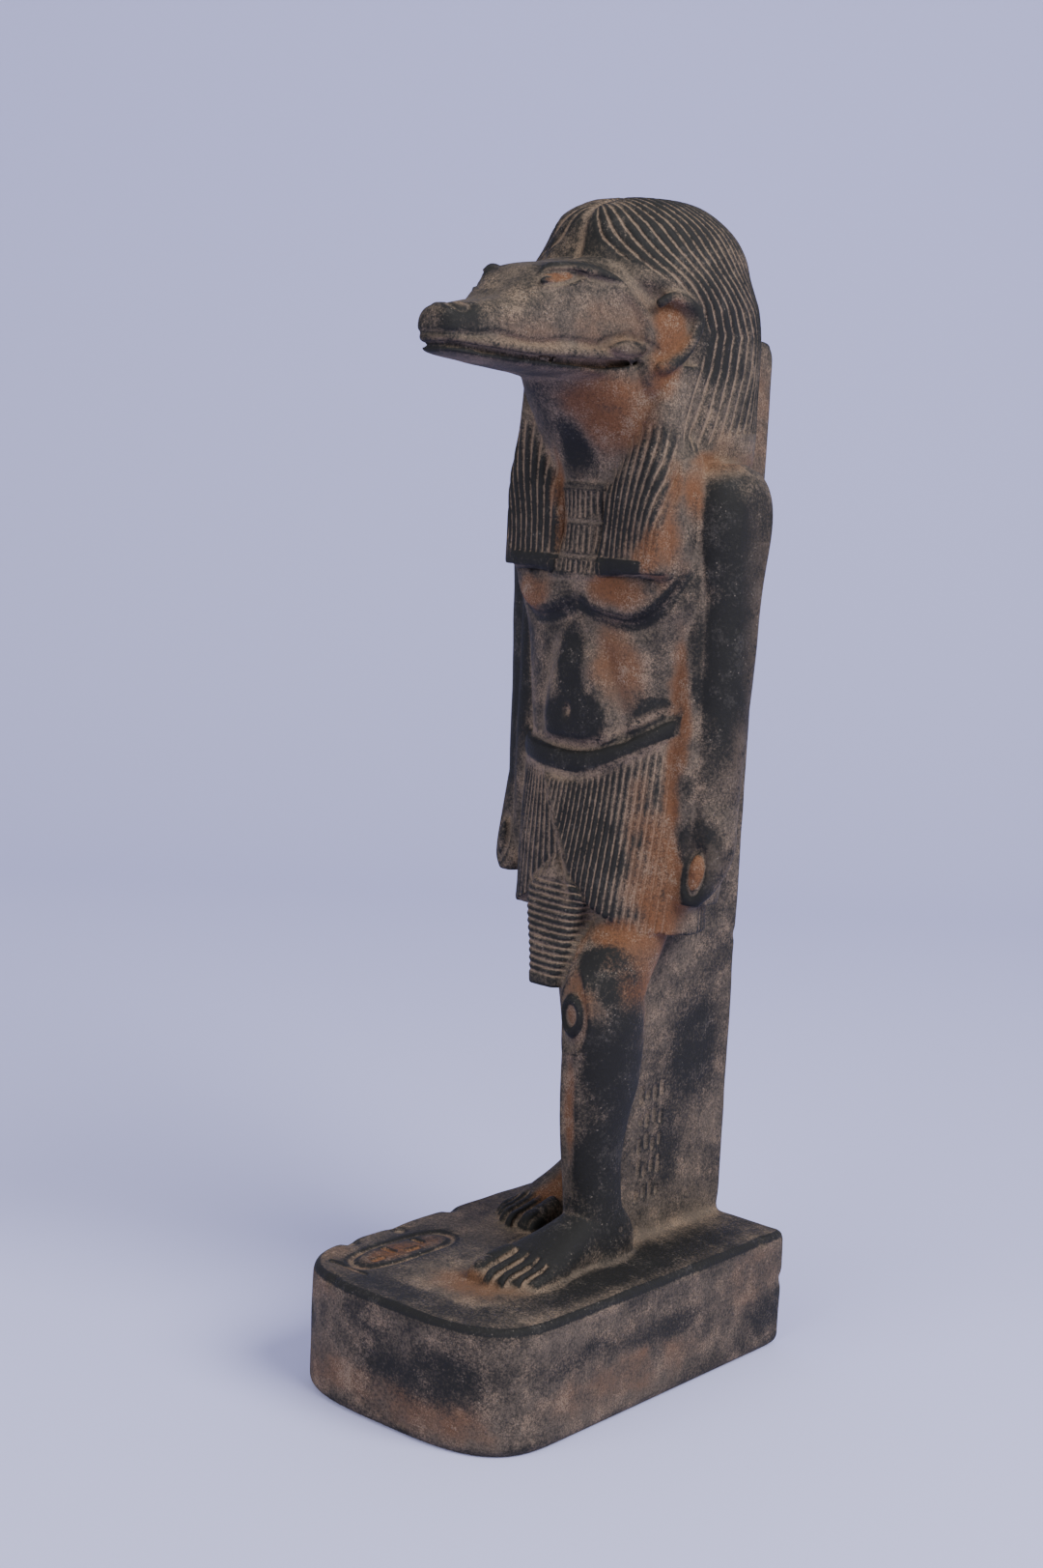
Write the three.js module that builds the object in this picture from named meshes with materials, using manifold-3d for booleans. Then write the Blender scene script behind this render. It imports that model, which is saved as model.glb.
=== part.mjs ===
// A carved stone statue of a striding man with the head of a crocodile, made as one block:
// rounded plinth, back pillar, the slab that fills the space between legs and pillar, and the figure.
// Millimetres. +Z is up, the figure faces -Y, and +X is its left. The origin is under the middle.
import * as THREE from 'three';
import { mergeVertices } from 'three/addons/utils/BufferGeometryUtils.js';
import Module from 'manifold-3d';

// Driving dimensions of the block
const HEIGHT = 329;
const PLINTH_HALF_WIDTH = 40;
const PLINTH_FRONT = -65;
const PLINTH_BACK = 65;
const PLINTH_TOP = 35;
const PLINTH_NOSE = 29;
const PLINTH_NOSE_POWER = 3.3;
const PLINTH_CORNER = 3;
const PLINTH_NOSE_STEPS = 16;
const PLINTH_SIDE_STEPS = 2;
const PLINTH_EDGES = [[0, 2.2], [3, 0], [31.5, 0], [33.8, 0.8], [PLINTH_TOP, 2.4]];
const PILLAR_HALF_WIDTH = 15;
const PILLAR_BACK = PLINTH_BACK;
const PILLAR_FRONT = 34;
const PILLAR_TOP = 293.5;
const SLAB_TOP = 150;
const SNOUT_TIP = -63.8;
const SINK = 2;
const BODY_MIDDLE = 20;

// Upright limbs as stations of height, middle x, middle y, half width, half depth and squareness
const TORSO = [
  [166, 0, 20, 25.5, 18.3, 2.2], [178, 0, 20, 25.6, 18, 2.2], [188, 0, 20, 26.2, 19, 2.2],
  [201, 0, 20, 27.6, 19.2, 2.2], [212, 0, 20, 30, 19.5, 2.2], [219, 0, 20, 32, 20.7, 2.3],
  [228, 0, 20.3, 33, 20.6, 2.3], [238, 0, 21, 33, 20, 2.3], [249, 0, 22, 31.5, 18, 2.3],
  [257, 0, 23, 28, 16.5, 2.3], [264, 0, 24, 24, 16, 2.2],
];
const KILT = [
  [126, 1.2, 20, 29.3, 22.3, 2.1], [138, 1, 20, 28.9, 21.9, 2.1], [148, 0.6, 20, 28.6, 21.3, 2.1],
  [160, 0.3, 20, 28, 20.3, 2.1], [172, 0, 20, 27, 19.3, 2.2], [182, 0, 20, 26.8, 19.2, 2.2],
  [196, 0, 20, 27.6, 19.8, 2.2],
];
const LEFT_LEG = [
  [34, 14.8, 3.4, 8.6, 10.2, 2.2], [44, 14.6, 3.5, 7.8, 9.2, 2.2], [52, 14, 3.1, 7.6, 8.7, 2.1],
  [62, 13.4, 2.6, 7.8, 9.2, 2.1], [74, 13.4, 2.8, 8.7, 10.5, 2.1], [85, 14, 3.5, 9.8, 12.1, 2.1],
  [96, 14.7, 3.3, 10.2, 12.7, 2.1], [104, 15, 2.6, 10.5, 12.6, 2.1], [112, 14.3, 3, 10.9, 12.4, 2.1],
  [122, 14.3, 7.6, 11.6, 12.4, 2.1], [133, 14.2, 14, 12, 11.8, 2.1], [152, 13.5, 18, 13, 12, 2.1],
];
const RIGHT_LEG = [
  [34, -19, 43.7, 8.8, 11.6, 2.2], [44, -19, 44.7, 8, 10, 2.2], [54, -19, 44.7, 7.9, 9.8, 2.1],
  [63, -19, 44.5, 8.6, 10.8, 2.1], [74, -18.8, 43.7, 9.1, 11.2, 2.1], [86, -18.5, 42.7, 9.5, 11.5, 2.1],
  [97, -18, 40.3, 9.8, 11.7, 2.1], [104, -17.3, 38.3, 10.2, 12, 2.1], [113, -16.5, 35.9, 11, 12.6, 2.1],
  [124, -15.8, 32.3, 12.2, 13.2, 2.1], [137, -15, 28.1, 13, 13.8, 2.1], [152, -14.1, 24.3, 13.6, 14, 2.1],
];
const ARM = [
  [156, 32.4, 22.6, 6.9, 7.7, 2.1], [165, 31.8, 23.4, 7.3, 8.6, 2.1], [176, 31.8, 23.9, 7.6, 9, 2.1],
  [190, 32.1, 24.2, 7.8, 9.2, 2.1], [205, 32.4, 24.4, 8.1, 9.6, 2.1], [220, 32.3, 24.5, 8.5, 10.2, 2.1],
  [232, 31.8, 24.8, 9.4, 12, 2.1], [243, 31, 25, 10.2, 13.4, 2.2], [250, 30.4, 25, 9.8, 12.8, 2.2],
  [255, 29.8, 25, 8, 10.8, 2.1], [258, 29, 25, 4.6, 6.4, 2],
];
const FIST = [
  [137.4, 33, 14.8, 3, 2.2, 2], [141, 33, 16.8, 5.2, 4.6, 2.3], [146, 33, 19.6, 6.4, 6.4, 2.6],
  [152, 33, 21.6, 6.8, 7.2, 2.7], [158, 32.5, 22.4, 7.1, 7.7, 2.4], [165, 32, 23.2, 7.2, 8.3, 2.2],
];
const NECK = [
  [226, 0, 10, 12, 10.6, 2], [240, 0, 12, 13.4, 12.6, 2], [250, 0, 12, 15.8, 13.4, 2],
  [257, 0, 12, 18.4, 15.2, 2.1], [263, 0, 11, 20.2, 17.6, 2.2], [269, 0, 9.4, 21, 20.4, 2.2],
  [275, 0, 8, 21, 23.6, 2.3], [282, 0, 6, 20, 26, 2.3],
];
const WIG = [
  [247, 0, 30, 24, 16, 3, 3], [254, 0, 28.6, 26.6, 21, 3, 3], [262, 0, 27, 27.9, 24.6, 3, 3],
  [288, 0, 26, 28.2, 26, 3, 3],
  [299, 0, 23.4, 28.2, 28.6, 2.8, 3], [304, 0, 21, 27.8, 31, 2.5, 3], [309, 0, 21, 26.4, 30.7, 2.3, 2.6],
  [314, 0, 22, 24.9, 30.4, 2.1, 2.3], [319.8, 0, 20.9, 22.1, 28.2, 2, 2.1],
  [324.6, 0, 20, 17, 23.2, 2, 2], [327.6, 0, 20, 11.6, 17, 2, 2], [HEIGHT, 0, 20, 3, 11.6, 2, 2],
];
const LAPPET = [
  [227.5, 17.6, 2.6, 9.8, 5.8], [234, 17.6, 2.5, 9.8, 5.9], [244, 17.7, 2.7, 9.8, 6],
  [251, 18.2, 3.4, 9.4, 6.4], [257, 20, 4.6, 8, 6.8], [263, 22, 5.8, 6.2, 7.2],
  [272, 24.2, 8, 4.2, 8], [283, 25.7, 11, 2.7, 9],
];

// The head as stations of depth y, middle x, middle z, half width, half height and squareness
const HEAD = [
  [16, 0, 294, 21, 15, 2.3], [3, 0, 294.5, 21, 15, 2.5], [-8, 0, 294.8, 19.8, 14.6, 2.9],
  [-17, 0, 294.2, 18, 13.2, 3.4], [-26, 0, 293.6, 16, 12.4, 3.6], [-33, 0, 292.8, 14.2, 11.4, 3.4],
  [-38, 0, 291.3, 12.8, 10, 3], [-43, 0, 289.6, 11.2, 7.8, 2.8], [-48, 0, 289, 9.7, 7, 2.7],
  [-54, 0, 288.5, 8, 6.3, 2.6], [-59, 0, 288.4, 7, 5.8, 2.5], [-62.2, 0, 288.1, 6.1, 5.2, 2.4],
  [SNOUT_TIP, 0, 287.6, 4.4, 3.7, 2.2],
];
const JAW = [
  [3, 0, 280, 17.4, 3.6, 2.4], [-10, 0, 280, 16, 3, 2.4], [-22, 0, 280.6, 14.2, 2.4, 2.4],
  [-34, 0, 281, 11.8, 2, 2.4], [-43, 0, 281.2, 9.4, 1.7, 2.3], [-52, 0, 281.6, 7.6, 1.5, 2.2],
  [-60, 0, 282.2, 6, 1.4, 2], [-62.9, 0, 282.6, 4.2, 1.1, 2],
];
const BROW = [
  [7.6, -39, 300.6, 1], [9, -35.5, 302.8, 1.4], [11.2, -30.5, 304, 1.6], [13.6, -25, 304.6, 1.5],
  [15.8, -19.5, 304, 1.4], [17.6, -14.5, 302.2, 1.3], [18.8, -11, 299.6, 1],
];
const LIP = [
  [4.2, -62, 285, 0.9], [6.2, -58, 284.5, 1.2], [7.8, -51, 284.3, 1.3], [10.6, -42, 283.6, 1.4],
  [14, -29, 283.8, 1.5], [16.8, -18, 284.4, 1.6], [18.4, -8, 285, 1.5], [19, -2, 285, 1],
];
const EYE = { middle: [12.2, -33, 301.4], half: [1.6, 4.4, 1.5] };
const NOSTRIL = { middle: [3.5, -58, 293.2], half: [1.5, 2, 1.1] };
const JAW_BOSS = { middle: [19.4, -4, 286.8], half: [2.2, 5, 2.8] };
const TEMPLE = { middle: [18.4, 7, 291], half: [7.6, 11, 14] };
const SHOULDER_HOLLOW = { middle: [24.6, 11, 243], half: [6.3, 9.6, 22] };
const ROD = { middle: [34.6, 16.4, 147], half: [2.6, 4, 6] };
const EAR = [
  [24.4, -3, 298.2, 1.3], [26.4, 0.2, 300.2, 1.7], [27.4, 5, 299.6, 1.9], [27.9, 9, 297, 1.9],
  [28, 9.8, 293.4, 1.9], [27.7, 7.6, 288.6, 1.7], [27, 4.4, 284.8, 1.8], [25.8, 0.8, 282.2, 2],
  [24.8, -1.4, 281.6, 1.3],
];

// Wig strands, kilt pleats, belt and tab
const WIG_STRANDS = 27;
const STRAND_DEPTH = 0.8;
const CROWN_LEVEL = 9;
const LAPPET_STRANDS = 7;
const LAPPET_STRAND_DEPTH = 0.7;
const LAPPET_BAND_TOP = 231;
const PLEATS = 26;
const PLEAT_DEPTH = 0.8;
const PLEAT_GATHER = 1.3;
const OVERLAP_RISE = 1;
const OVERLAP = [[-13, 180], [-5.8, 165], [-2.2, 157.6], [3.1, 149.1], [8.6, 134], [9.5, 122]];
const BELT_TOP_FRONT = 177.3;
const BELT_FOOT_FRONT = 171.4;
const BELT_RISE_LEFT = 13;
const BELT_RISE_RIGHT = 3;
const BELT_PROUD = 1.1;
const HEM_SIDE = 127.5;
const HEM_PEAK = 19;
const HEM_FADE_LEFT = 22;
const HEM_FADE_RIGHT = 30;
const TAB = [
  [111.4, -0.8, 1, 6.2, 8, 4], [118, -0.6, 1, 7.6, 7.4, 4], [126, -0.3, 1.4, 9.8, 6.8, 4],
  [133, -0.2, 1.8, 11.6, 6.4, 4], [138, -0.2, 2, 11.8, 6, 4], [143, -0.4, 2, 6, 5.6, 3],
  [147.4, -0.8, 2, 1.2, 5, 2],
];
const TAB_PLEATS = 12;
const TAB_PLAIN_TOP = 4;
const TAB_PLEAT_DEPTH = 0.45;
const COLLAR_ROWS = [225.4, 231, 240.5, 250];
const COLLAR_STROKES = 5;

// Feet: depth y, middle x, middle z, half width, half height and squareness, for a foot at x = 0
const FOOT = [
  [11, 0, 38, 5, 6, 2.1], [7, 0, 40, 7, 9, 2.2], [0, -0.4, 41.5, 7.4, 11.5, 2.2],
  [-8, -1.2, 40, 7.4, 9.6, 2.2], [-16, -2.2, 38.4, 8.5, 7.6, 2.3], [-23, -3, 37.2, 9.6, 6, 2.4],
  [-29, -3.4, 36, 9.8, 4.6, 2.5], [-32, -3.6, 35.5, 9, 3.2, 2.4],
];
// Toes: middle x, tip y, half width and height, from the big toe outwards
const TOES = [
  [-9.6, -41.4, 3.7, 4.3], [-4.6, -42.4, 2.4, 3.8], [-0.6, -40.6, 2.2, 3.6], [2.9, -37.6, 2.1, 3.3],
  [5.8, -34.4, 2, 3],
];
const TOE_LENGTH = 15;
const LEFT_FOOT = { x: 15.8, y: 4, side: 1 };
const RIGHT_FOOT = { x: -20, y: 44, side: -1 };
const KNEE_CAP = { z: 106, inward: 2.1, half: 4.4, tall: 6, wire: 1.3 };

// The oval frame on the plinth, and the plain strokes that stand for writing
const CARTOUCHE = { x: -24, front: -53, back: -13, half: 7, groove: 1.3, depth: 0.8 };
const WRITING_DEPTH = 0.6;

const STONE = new THREE.MeshStandardMaterial({ color: 0x2f2a28, roughness: 0.85, metalness: 0 });

const wasm = await Module();
wasm.setup();

// Small number helpers
function mix(a, b, t) {
  return a + (b - a) * t;
}

function ramp(from, to, value) {
  const t = Math.min(Math.max((value - from) / (to - from), 0), 1);
  return t * t * (3 - 2 * t);
}

function hump(value, middle, width) {
  return Math.exp(-(((value - middle) / width) ** 2));
}

// A station at a fractional place in a list, on a smooth curve through its neighbours
function station(list, place) {
  const last = list.length - 1;
  const i = Math.min(Math.floor(place), last - 1);
  const t = place - i;
  const a = list[Math.max(i - 1, 0)];
  const b = list[i];
  const c = list[i + 1];
  const d = list[Math.min(i + 2, last)];
  return b.map((value, k) => {
    const start = (c[k] - a[k]) / 2;
    const end = (d[k] - b[k]) / 2;
    const rise = c[k] - value;
    return value + t * (start + t * (3 * rise - 2 * start - end + t * (start + end - 2 * rise)));
  });
}

// A station by its first number, its height
function stationAt(list, height) {
  const rising = list[list.length - 1][0] > list[0][0];
  let i = 0;
  while (i < list.length - 2 && (rising ? list[i + 1][0] < height : list[i + 1][0] > height)) i += 1;
  const t = (height - list[i][0]) / (list[i + 1][0] - list[i][0]);
  return station(list, i + Math.min(Math.max(t, 0), 1));
}

// A point of a rounded box section, at a turn from 0 to 1; its front may be squarer than its back
function section(turn, halfWidth, halfDepth, power, frontPower = power) {
  const angle = turn * 2 * Math.PI;
  const c = Math.cos(angle);
  const s = Math.sin(angle);
  const n = s < 0 ? frontPower : power;
  const size = (Math.abs(c) ** n + Math.abs(s) ** n) ** (-1 / n);
  return [halfWidth * c * size, halfDepth * s * size];
}

// A closed tube of columns by levels; place(turn, level) gives each of its points
function tube(columns, levels, place) {
  const plain = new THREE.CylinderGeometry(1, 1, levels, columns, levels);
  plain.deleteAttribute('normal');
  plain.deleteAttribute('uv');
  const body = mergeVertices(plain, 1e-4);
  const points = body.attributes.position;
  for (let i = 0; i < points.count; i += 1) {
    const x = points.getX(i);
    const y = -points.getZ(i);
    const level = Math.round(points.getY(i) + levels / 2);
    if (Math.hypot(x, y) < 0.5) {
      points.setXYZ(i, ...middle(columns, level, place));
    } else {
      const column = Math.round((Math.atan2(y, x) / (2 * Math.PI)) * columns + columns) % columns;
      points.setXYZ(i, ...place(column / columns, level));
    }
  }
  return body;
}

function middle(columns, level, place) {
  const sum = [0, 0, 0];
  for (let column = 0; column < columns; column += 1) {
    place(column / columns, level).forEach((value, k) => { sum[k] += value / columns; });
  }
  return sum;
}

// An upright limb through its stations, with steps levels between two of them
function limb(stations, columns, steps, relief) {
  return tube(columns, (stations.length - 1) * steps, (turn, level) => {
    const [z, cx, cy, a, b, power] = station(stations, level / steps);
    const [x, y] = section(turn, a, b, power);
    const push = relief ? relief(cx + x, cy + y, z, turn) : 0;
    const reach = 1 + push / Math.hypot(x, y);
    return [cx + x * reach, cy + y * reach, z];
  });
}

// A limb that runs forward, towards -Y
function forward(stations, columns, steps) {
  return tube(columns, (stations.length - 1) * steps, (turn, level) => {
    const [y, cx, cz, a, b, power] = station(stations, level / steps);
    const [x, z] = section(turn, a, b, power);
    return [cx + x, y, cz + z];
  });
}

// A round ridge through points that each have a radius
function ridge(points, columns, steps) {
  return tube(columns, (points.length - 1) * steps, (turn, level) => {
    const at = level / steps;
    const [x, y, z, radius] = station(points, at);
    const before = station(points, Math.max(at - 0.1, 0));
    const after = station(points, Math.min(at + 0.1, points.length - 1));
    const way = new THREE.Vector3(after[0] - before[0], after[1] - before[1], after[2] - before[2]);
    way.normalize();
    const across = new THREE.Vector3(1, 0, 0).addScaledVector(way, -way.x).normalize();
    const up = new THREE.Vector3().crossVectors(way, across);
    const angle = turn * 2 * Math.PI;
    return new THREE.Vector3(x, y, z)
      .addScaledVector(across, radius * Math.cos(angle))
      .addScaledVector(up, radius * Math.sin(angle)).toArray();
  });
}

function ball({ middle: at, half }, around, rings) {
  const body = new THREE.SphereGeometry(1, around, rings);
  body.scale(...half);
  body.translate(...at);
  return body;
}

function block(low, high) {
  const body = new THREE.BoxGeometry(high[0] - low[0], high[1] - low[1], high[2] - low[2]);
  body.translate(...low.map((value, k) => (value + high[k]) / 2));
  return body;
}

// A solid for joining and cutting
function solid(geometry) {
  const bare = geometry.clone();
  bare.deleteAttribute('normal');
  bare.deleteAttribute('uv');
  const body = mergeVertices(bare, 1e-4);
  return new wasm.Manifold(new wasm.Mesh({
    numProp: 3,
    vertProperties: new Float32Array(body.attributes.position.array),
    triVerts: new Uint32Array(body.index.array),
  }));
}

// The same shape on the other side, with its faces turned to point out again
function mirrored(geometry) {
  const body = mergeVertices(geometry.clone(), 1e-4);
  body.scale(-1, 1, 1);
  const index = body.index.array;
  for (let i = 0; i < index.length; i += 3) {
    [index[i + 1], index[i + 2]] = [index[i + 2], index[i + 1]];
  }
  return body;
}

function pair(geometry) {
  return [geometry, mirrored(geometry)];
}

function joined(geometries) {
  return geometries.map(solid).reduce((whole, piece) => whole.add(piece));
}

// Plinth: straight back with small corners, rounded front, softened edges above and below
function plinthOutline() {
  const points = [];
  for (let i = 0; i <= PLINTH_NOSE_STEPS; i += 1) {
    const turn = 0.5 + (0.5 * i) / PLINTH_NOSE_STEPS;
    const [x, y] = section(turn, PLINTH_HALF_WIDTH, PLINTH_NOSE, PLINTH_NOSE_POWER);
    points.push([x, PLINTH_FRONT + PLINTH_NOSE + y]);
  }
  for (let i = 1; i <= PLINTH_SIDE_STEPS; i += 1) {
    const start = PLINTH_FRONT + PLINTH_NOSE;
    points.push([PLINTH_HALF_WIDTH, mix(start, PLINTH_BACK - PLINTH_CORNER, i / PLINTH_SIDE_STEPS)]);
  }
  const cut = PLINTH_CORNER * 0.3;
  points.push([PLINTH_HALF_WIDTH - cut, PLINTH_BACK - cut]);
  points.push([PLINTH_HALF_WIDTH - PLINTH_CORNER, PLINTH_BACK]);
  const back = points.slice(PLINTH_NOSE_STEPS + 1).reverse();
  return points.concat(back.map(([x, y]) => [-x, y]));
}

function plinth() {
  const outline = plinthOutline();
  const middleY = (PLINTH_FRONT + PLINTH_BACK) / 2;
  return tube(outline.length, PLINTH_EDGES.length - 1, (turn, level) => {
    const [z, inset] = PLINTH_EDGES[level];
    const [x, y] = outline[Math.round(turn * outline.length) % outline.length];
    return [x * (1 - inset / PLINTH_HALF_WIDTH), middleY + (y - middleY) * (1 - inset / PLINTH_BACK), z];
  });
}

// Pillar and slab
function pillar() {
  const middleY = (PILLAR_FRONT + PILLAR_BACK) / 2;
  const depth = (PILLAR_BACK - PILLAR_FRONT) / 2;
  const levels = [
    [PLINTH_TOP - SINK, 0, middleY, PILLAR_HALF_WIDTH, depth, 30],
    [PILLAR_TOP - 1.6, 0, middleY, PILLAR_HALF_WIDTH, depth, 30],
    [PILLAR_TOP, 0, middleY, PILLAR_HALF_WIDTH - 1.4, depth - 1, 20],
  ];
  return limb(levels, 16, 1);
}

function upright(outline, low, high) {
  const shape = new THREE.Shape(outline.map(([x, y]) => new THREE.Vector2(x, y)));
  const body = new THREE.ExtrudeGeometry(shape, { depth: high - low, bevelEnabled: false });
  body.translate(0, 0, low);
  return body;
}

// The slab runs from the back of the left leg and the inside of the right leg to the pillar
function slab() {
  const side = PILLAR_HALF_WIDTH;
  const outline = [[side, 9], [side, PILLAR_FRONT + SINK], [-side, PILLAR_FRONT + SINK], [-side, 30], [8, 9]];
  return upright(outline, PLINTH_TOP - SINK, SLAB_TOP);
}

// Torso: chest with its lower edge, belly with a shallow middle line
function torsoRelief(x, y, z) {
  const front = ramp(22, 4, y);
  const chest = 1.6 * hump(Math.abs(x), 15, 11) * ramp(213.5, 217.5, z) * ramp(240, 224, z);
  const belly = 1.3 * hump(x, 0, 11) * hump(z, 189, 11);
  const waist = -0.8 * hump(x, 0, 3) * ramp(199, 204, z) * ramp(219, 213, z);
  const flank = -1 * hump(Math.abs(x), 19, 5) * hump(z, 190, 9);
  return front * (chest + belly + waist + flank);
}

// The angle in degrees from straight ahead, positive to the figure's left
function fromFront(turn) {
  let angle = turn * 360 + 90;
  if (angle > 180) angle -= 360;
  return angle;
}

function beltLine(front, turn) {
  const angle = fromFront(turn);
  const rise = angle > 0 ? BELT_RISE_LEFT : BELT_RISE_RIGHT;
  return front + rise * Math.sin((angle * Math.PI) / 180) ** 2;
}

function hemLine(turn) {
  const angle = fromFront(turn);
  const fade = angle > 0 ? HEM_FADE_LEFT : HEM_FADE_RIGHT;
  return HEM_SIDE + HEM_PEAK * Math.exp(-Math.abs(angle) / fade);
}

// Kilt: pleats gather towards the lower front
function kiltPoint(turn, height, proud) {
  const [, cx, cy, a, b, power] = stationAt(KILT, height);
  const [x, y] = section(turn, a + proud, b + proud, power);
  return [cx + x, cy + y, height];
}

function kilt(proud) {
  const levels = 3;
  const columns = PLEATS * 2;
  return tube(columns, levels, (turn, level) => {
    const rise = level / levels;
    const folded = fromFront(turn) / 180;
    const gathered = Math.sign(folded) * Math.abs(folded) ** mix(PLEAT_GATHER, 1, rise);
    const turned = (gathered * 180 - 90) / 360;
    const height = mix(hemLine(turned), beltLine(BELT_FOOT_FRONT, turned) + SINK, rise);
    const groove = Math.round(turn * columns) % 2 === 0 ? 0 : -PLEAT_DEPTH;
    return kiltPoint(turned, height, proud + groove);
  });
}

// The left side of the kilt laps over the right one along a slanting edge
function lappedSide() {
  const shape = new THREE.Shape(OVERLAP.map(([x, z]) => new THREE.Vector2(x, z)));
  const [firstX] = OVERLAP[0];
  const [, lowest] = OVERLAP[OVERLAP.length - 1];
  shape.lineTo(PLINTH_BACK, lowest);
  shape.lineTo(PLINTH_BACK, HEIGHT);
  shape.lineTo(firstX, HEIGHT);
  const cutter = new THREE.ExtrudeGeometry(shape, { depth: -PLINTH_FRONT, bevelEnabled: false });
  cutter.rotateX(Math.PI / 2);
  cutter.translate(0, BODY_MIDDLE, 0);
  return solid(kilt(OVERLAP_RISE)).intersect(solid(cutter));
}

function belt() {
  const heights = [0, 0.12, 0.88, 1];
  const prouds = [-2, BELT_PROUD, BELT_PROUD, -2];
  return tube(36, heights.length - 1, (turn, level) => {
    const foot = beltLine(BELT_FOOT_FRONT, turn);
    const height = mix(foot, beltLine(BELT_TOP_FRONT, turn), heights[level]);
    return kiltPoint(turn, height, prouds[level]);
  });
}

// Tab: a hanging apron with level pleats
function tab() {
  const steps = TAB_PLEATS * 2;
  const last = TAB.length - 1;
  return tube(8, steps, (turn, level) => {
    const [z, cx, cy, a, b, power] = station(TAB, (level / steps) * last);
    const groove = level % 2 === 0 || level > steps - TAB_PLAIN_TOP ? 0 : TAB_PLEAT_DEPTH;
    const [x, y] = section(turn, a - groove * 0.4, b - groove, power);
    return [cx + x, cy + y, z];
  });
}

// Wig: strands run from the parting over the crown and down
function wig() {
  const columns = WIG_STRANDS * 2;
  const levels = WIG.length - 1;
  return tube(columns, levels, (turn, level) => {
    const [z, cx, cy, a, b, power, frontPower] = WIG[level];
    const [x, y] = section(turn, a, b, power, frontPower);
    const groove = Math.round(turn * columns) % 2 === 0 ? 0 : STRAND_DEPTH * (level < levels ? 1 : 0);
    const reach = 1 - groove / Math.max(Math.hypot(x, y), 1);
    return [cx + x * reach, cy + y * reach, z - (level < CROWN_LEVEL ? 0 : groove * STRAND_DEPTH)];
  });
}

// Lappet: strands on its front, and a plain band at its foot
function lappet() {
  const front = LAPPET_STRANDS * 2;
  const columns = front + 4;
  return tube(columns, LAPPET.length - 1, (turn, level) => {
    const [z, cx, cy, a, b] = LAPPET[level];
    const column = (Math.round(turn * columns) + 2) % columns;
    if (column > front) {
      const corner = column - front - 1;
      return [cx + [a, a * 0.4, -a * 0.4][corner], cy + [b, b, b][corner], z];
    }
    const across = column / front;
    const groove = column % 2 === 1 && z > LAPPET_BAND_TOP ? LAPPET_STRAND_DEPTH : 0;
    const round = 1.4 * Math.abs(2 * across - 1) ** 4;
    return [cx + a * (2 * across - 1), cy - b + groove + round, z];
  });
}

// Collar between the lappets: rows of short upright strokes
function collar() {
  const cuts = [];
  for (let row = 0; row < COLLAR_ROWS.length - 1; row += 1) {
    for (let stroke = 0; stroke < COLLAR_STROKES; stroke += 1) {
      const x = (stroke - (COLLAR_STROKES - 1) / 2) * 3;
      const low = COLLAR_ROWS[row] + 1;
      const high = COLLAR_ROWS[row + 1] - 1;
      cuts.push(block([x - 0.6, -4, low], [x + 0.6, -0.9, high]));
    }
  }
  const plate = block([-11, -1.6, COLLAR_ROWS[0]], [11, 8, COLLAR_ROWS[COLLAR_ROWS.length - 1]]);
  return solid(plate).subtract(joined(cuts));
}

// Feet and toes
function foot({ x, y, side }) {
  const pieces = [forward(FOOT, 14, 1)];
  TOES.forEach(([toeX, tip, half, tall]) => {
    const back = tip + TOE_LENGTH;
    const low = PLINTH_TOP - 1;
    const toe = [
      [back, toeX * 0.9, low + tall, half * 0.9, tall, 2.2],
      [mix(back, tip, 0.5), toeX, low + tall * 0.8, half, tall * 0.9, 2.2],
      [mix(back, tip, 0.82), toeX, low + tall * 0.66, half, tall * 0.8, 2.2],
      [mix(back, tip, 0.97), toeX, low + tall * 0.5, half * 0.7, tall * 0.55, 2],
      [tip, toeX, low + tall * 0.45, half * 0.3, tall * 0.25, 2],
    ];
    pieces.push(forward(toe, 6, 1));
  });
  const whole = pieces.map((piece) => (side > 0 ? piece : mirrored(piece)));
  whole.forEach((piece) => piece.translate(x, y, 0));
  return whole;
}

// Knee cap: an oval ring on the front of the knee
function kneeCap(leg, side) {
  const [, x, y, , depth] = stationAt(leg, KNEE_CAP.z);
  const ring = new THREE.TorusGeometry(KNEE_CAP.half - KNEE_CAP.wire, KNEE_CAP.wire, 5, 12);
  ring.scale(1, KNEE_CAP.tall / KNEE_CAP.half, 1);
  ring.rotateX(Math.PI / 2);
  ring.translate(x - side * KNEE_CAP.inward, y - depth + 0.5, KNEE_CAP.z);
  return ring;
}

// The web of stone that joins each arm to the body
function web() {
  const levels = [
    [136, 27, 24, 6, 7.5, 3], [150, 27, 23, 6.6, 10.2, 3], [200, 27, 23.2, 6.8, 10.7, 3],
    [226, 27, 23.4, 7.4, 11, 3], [240, 27, 25, 9, 11, 3], [254, 25, 26, 8, 9, 3],
  ];
  return limb(levels, 8, 1);
}

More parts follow.
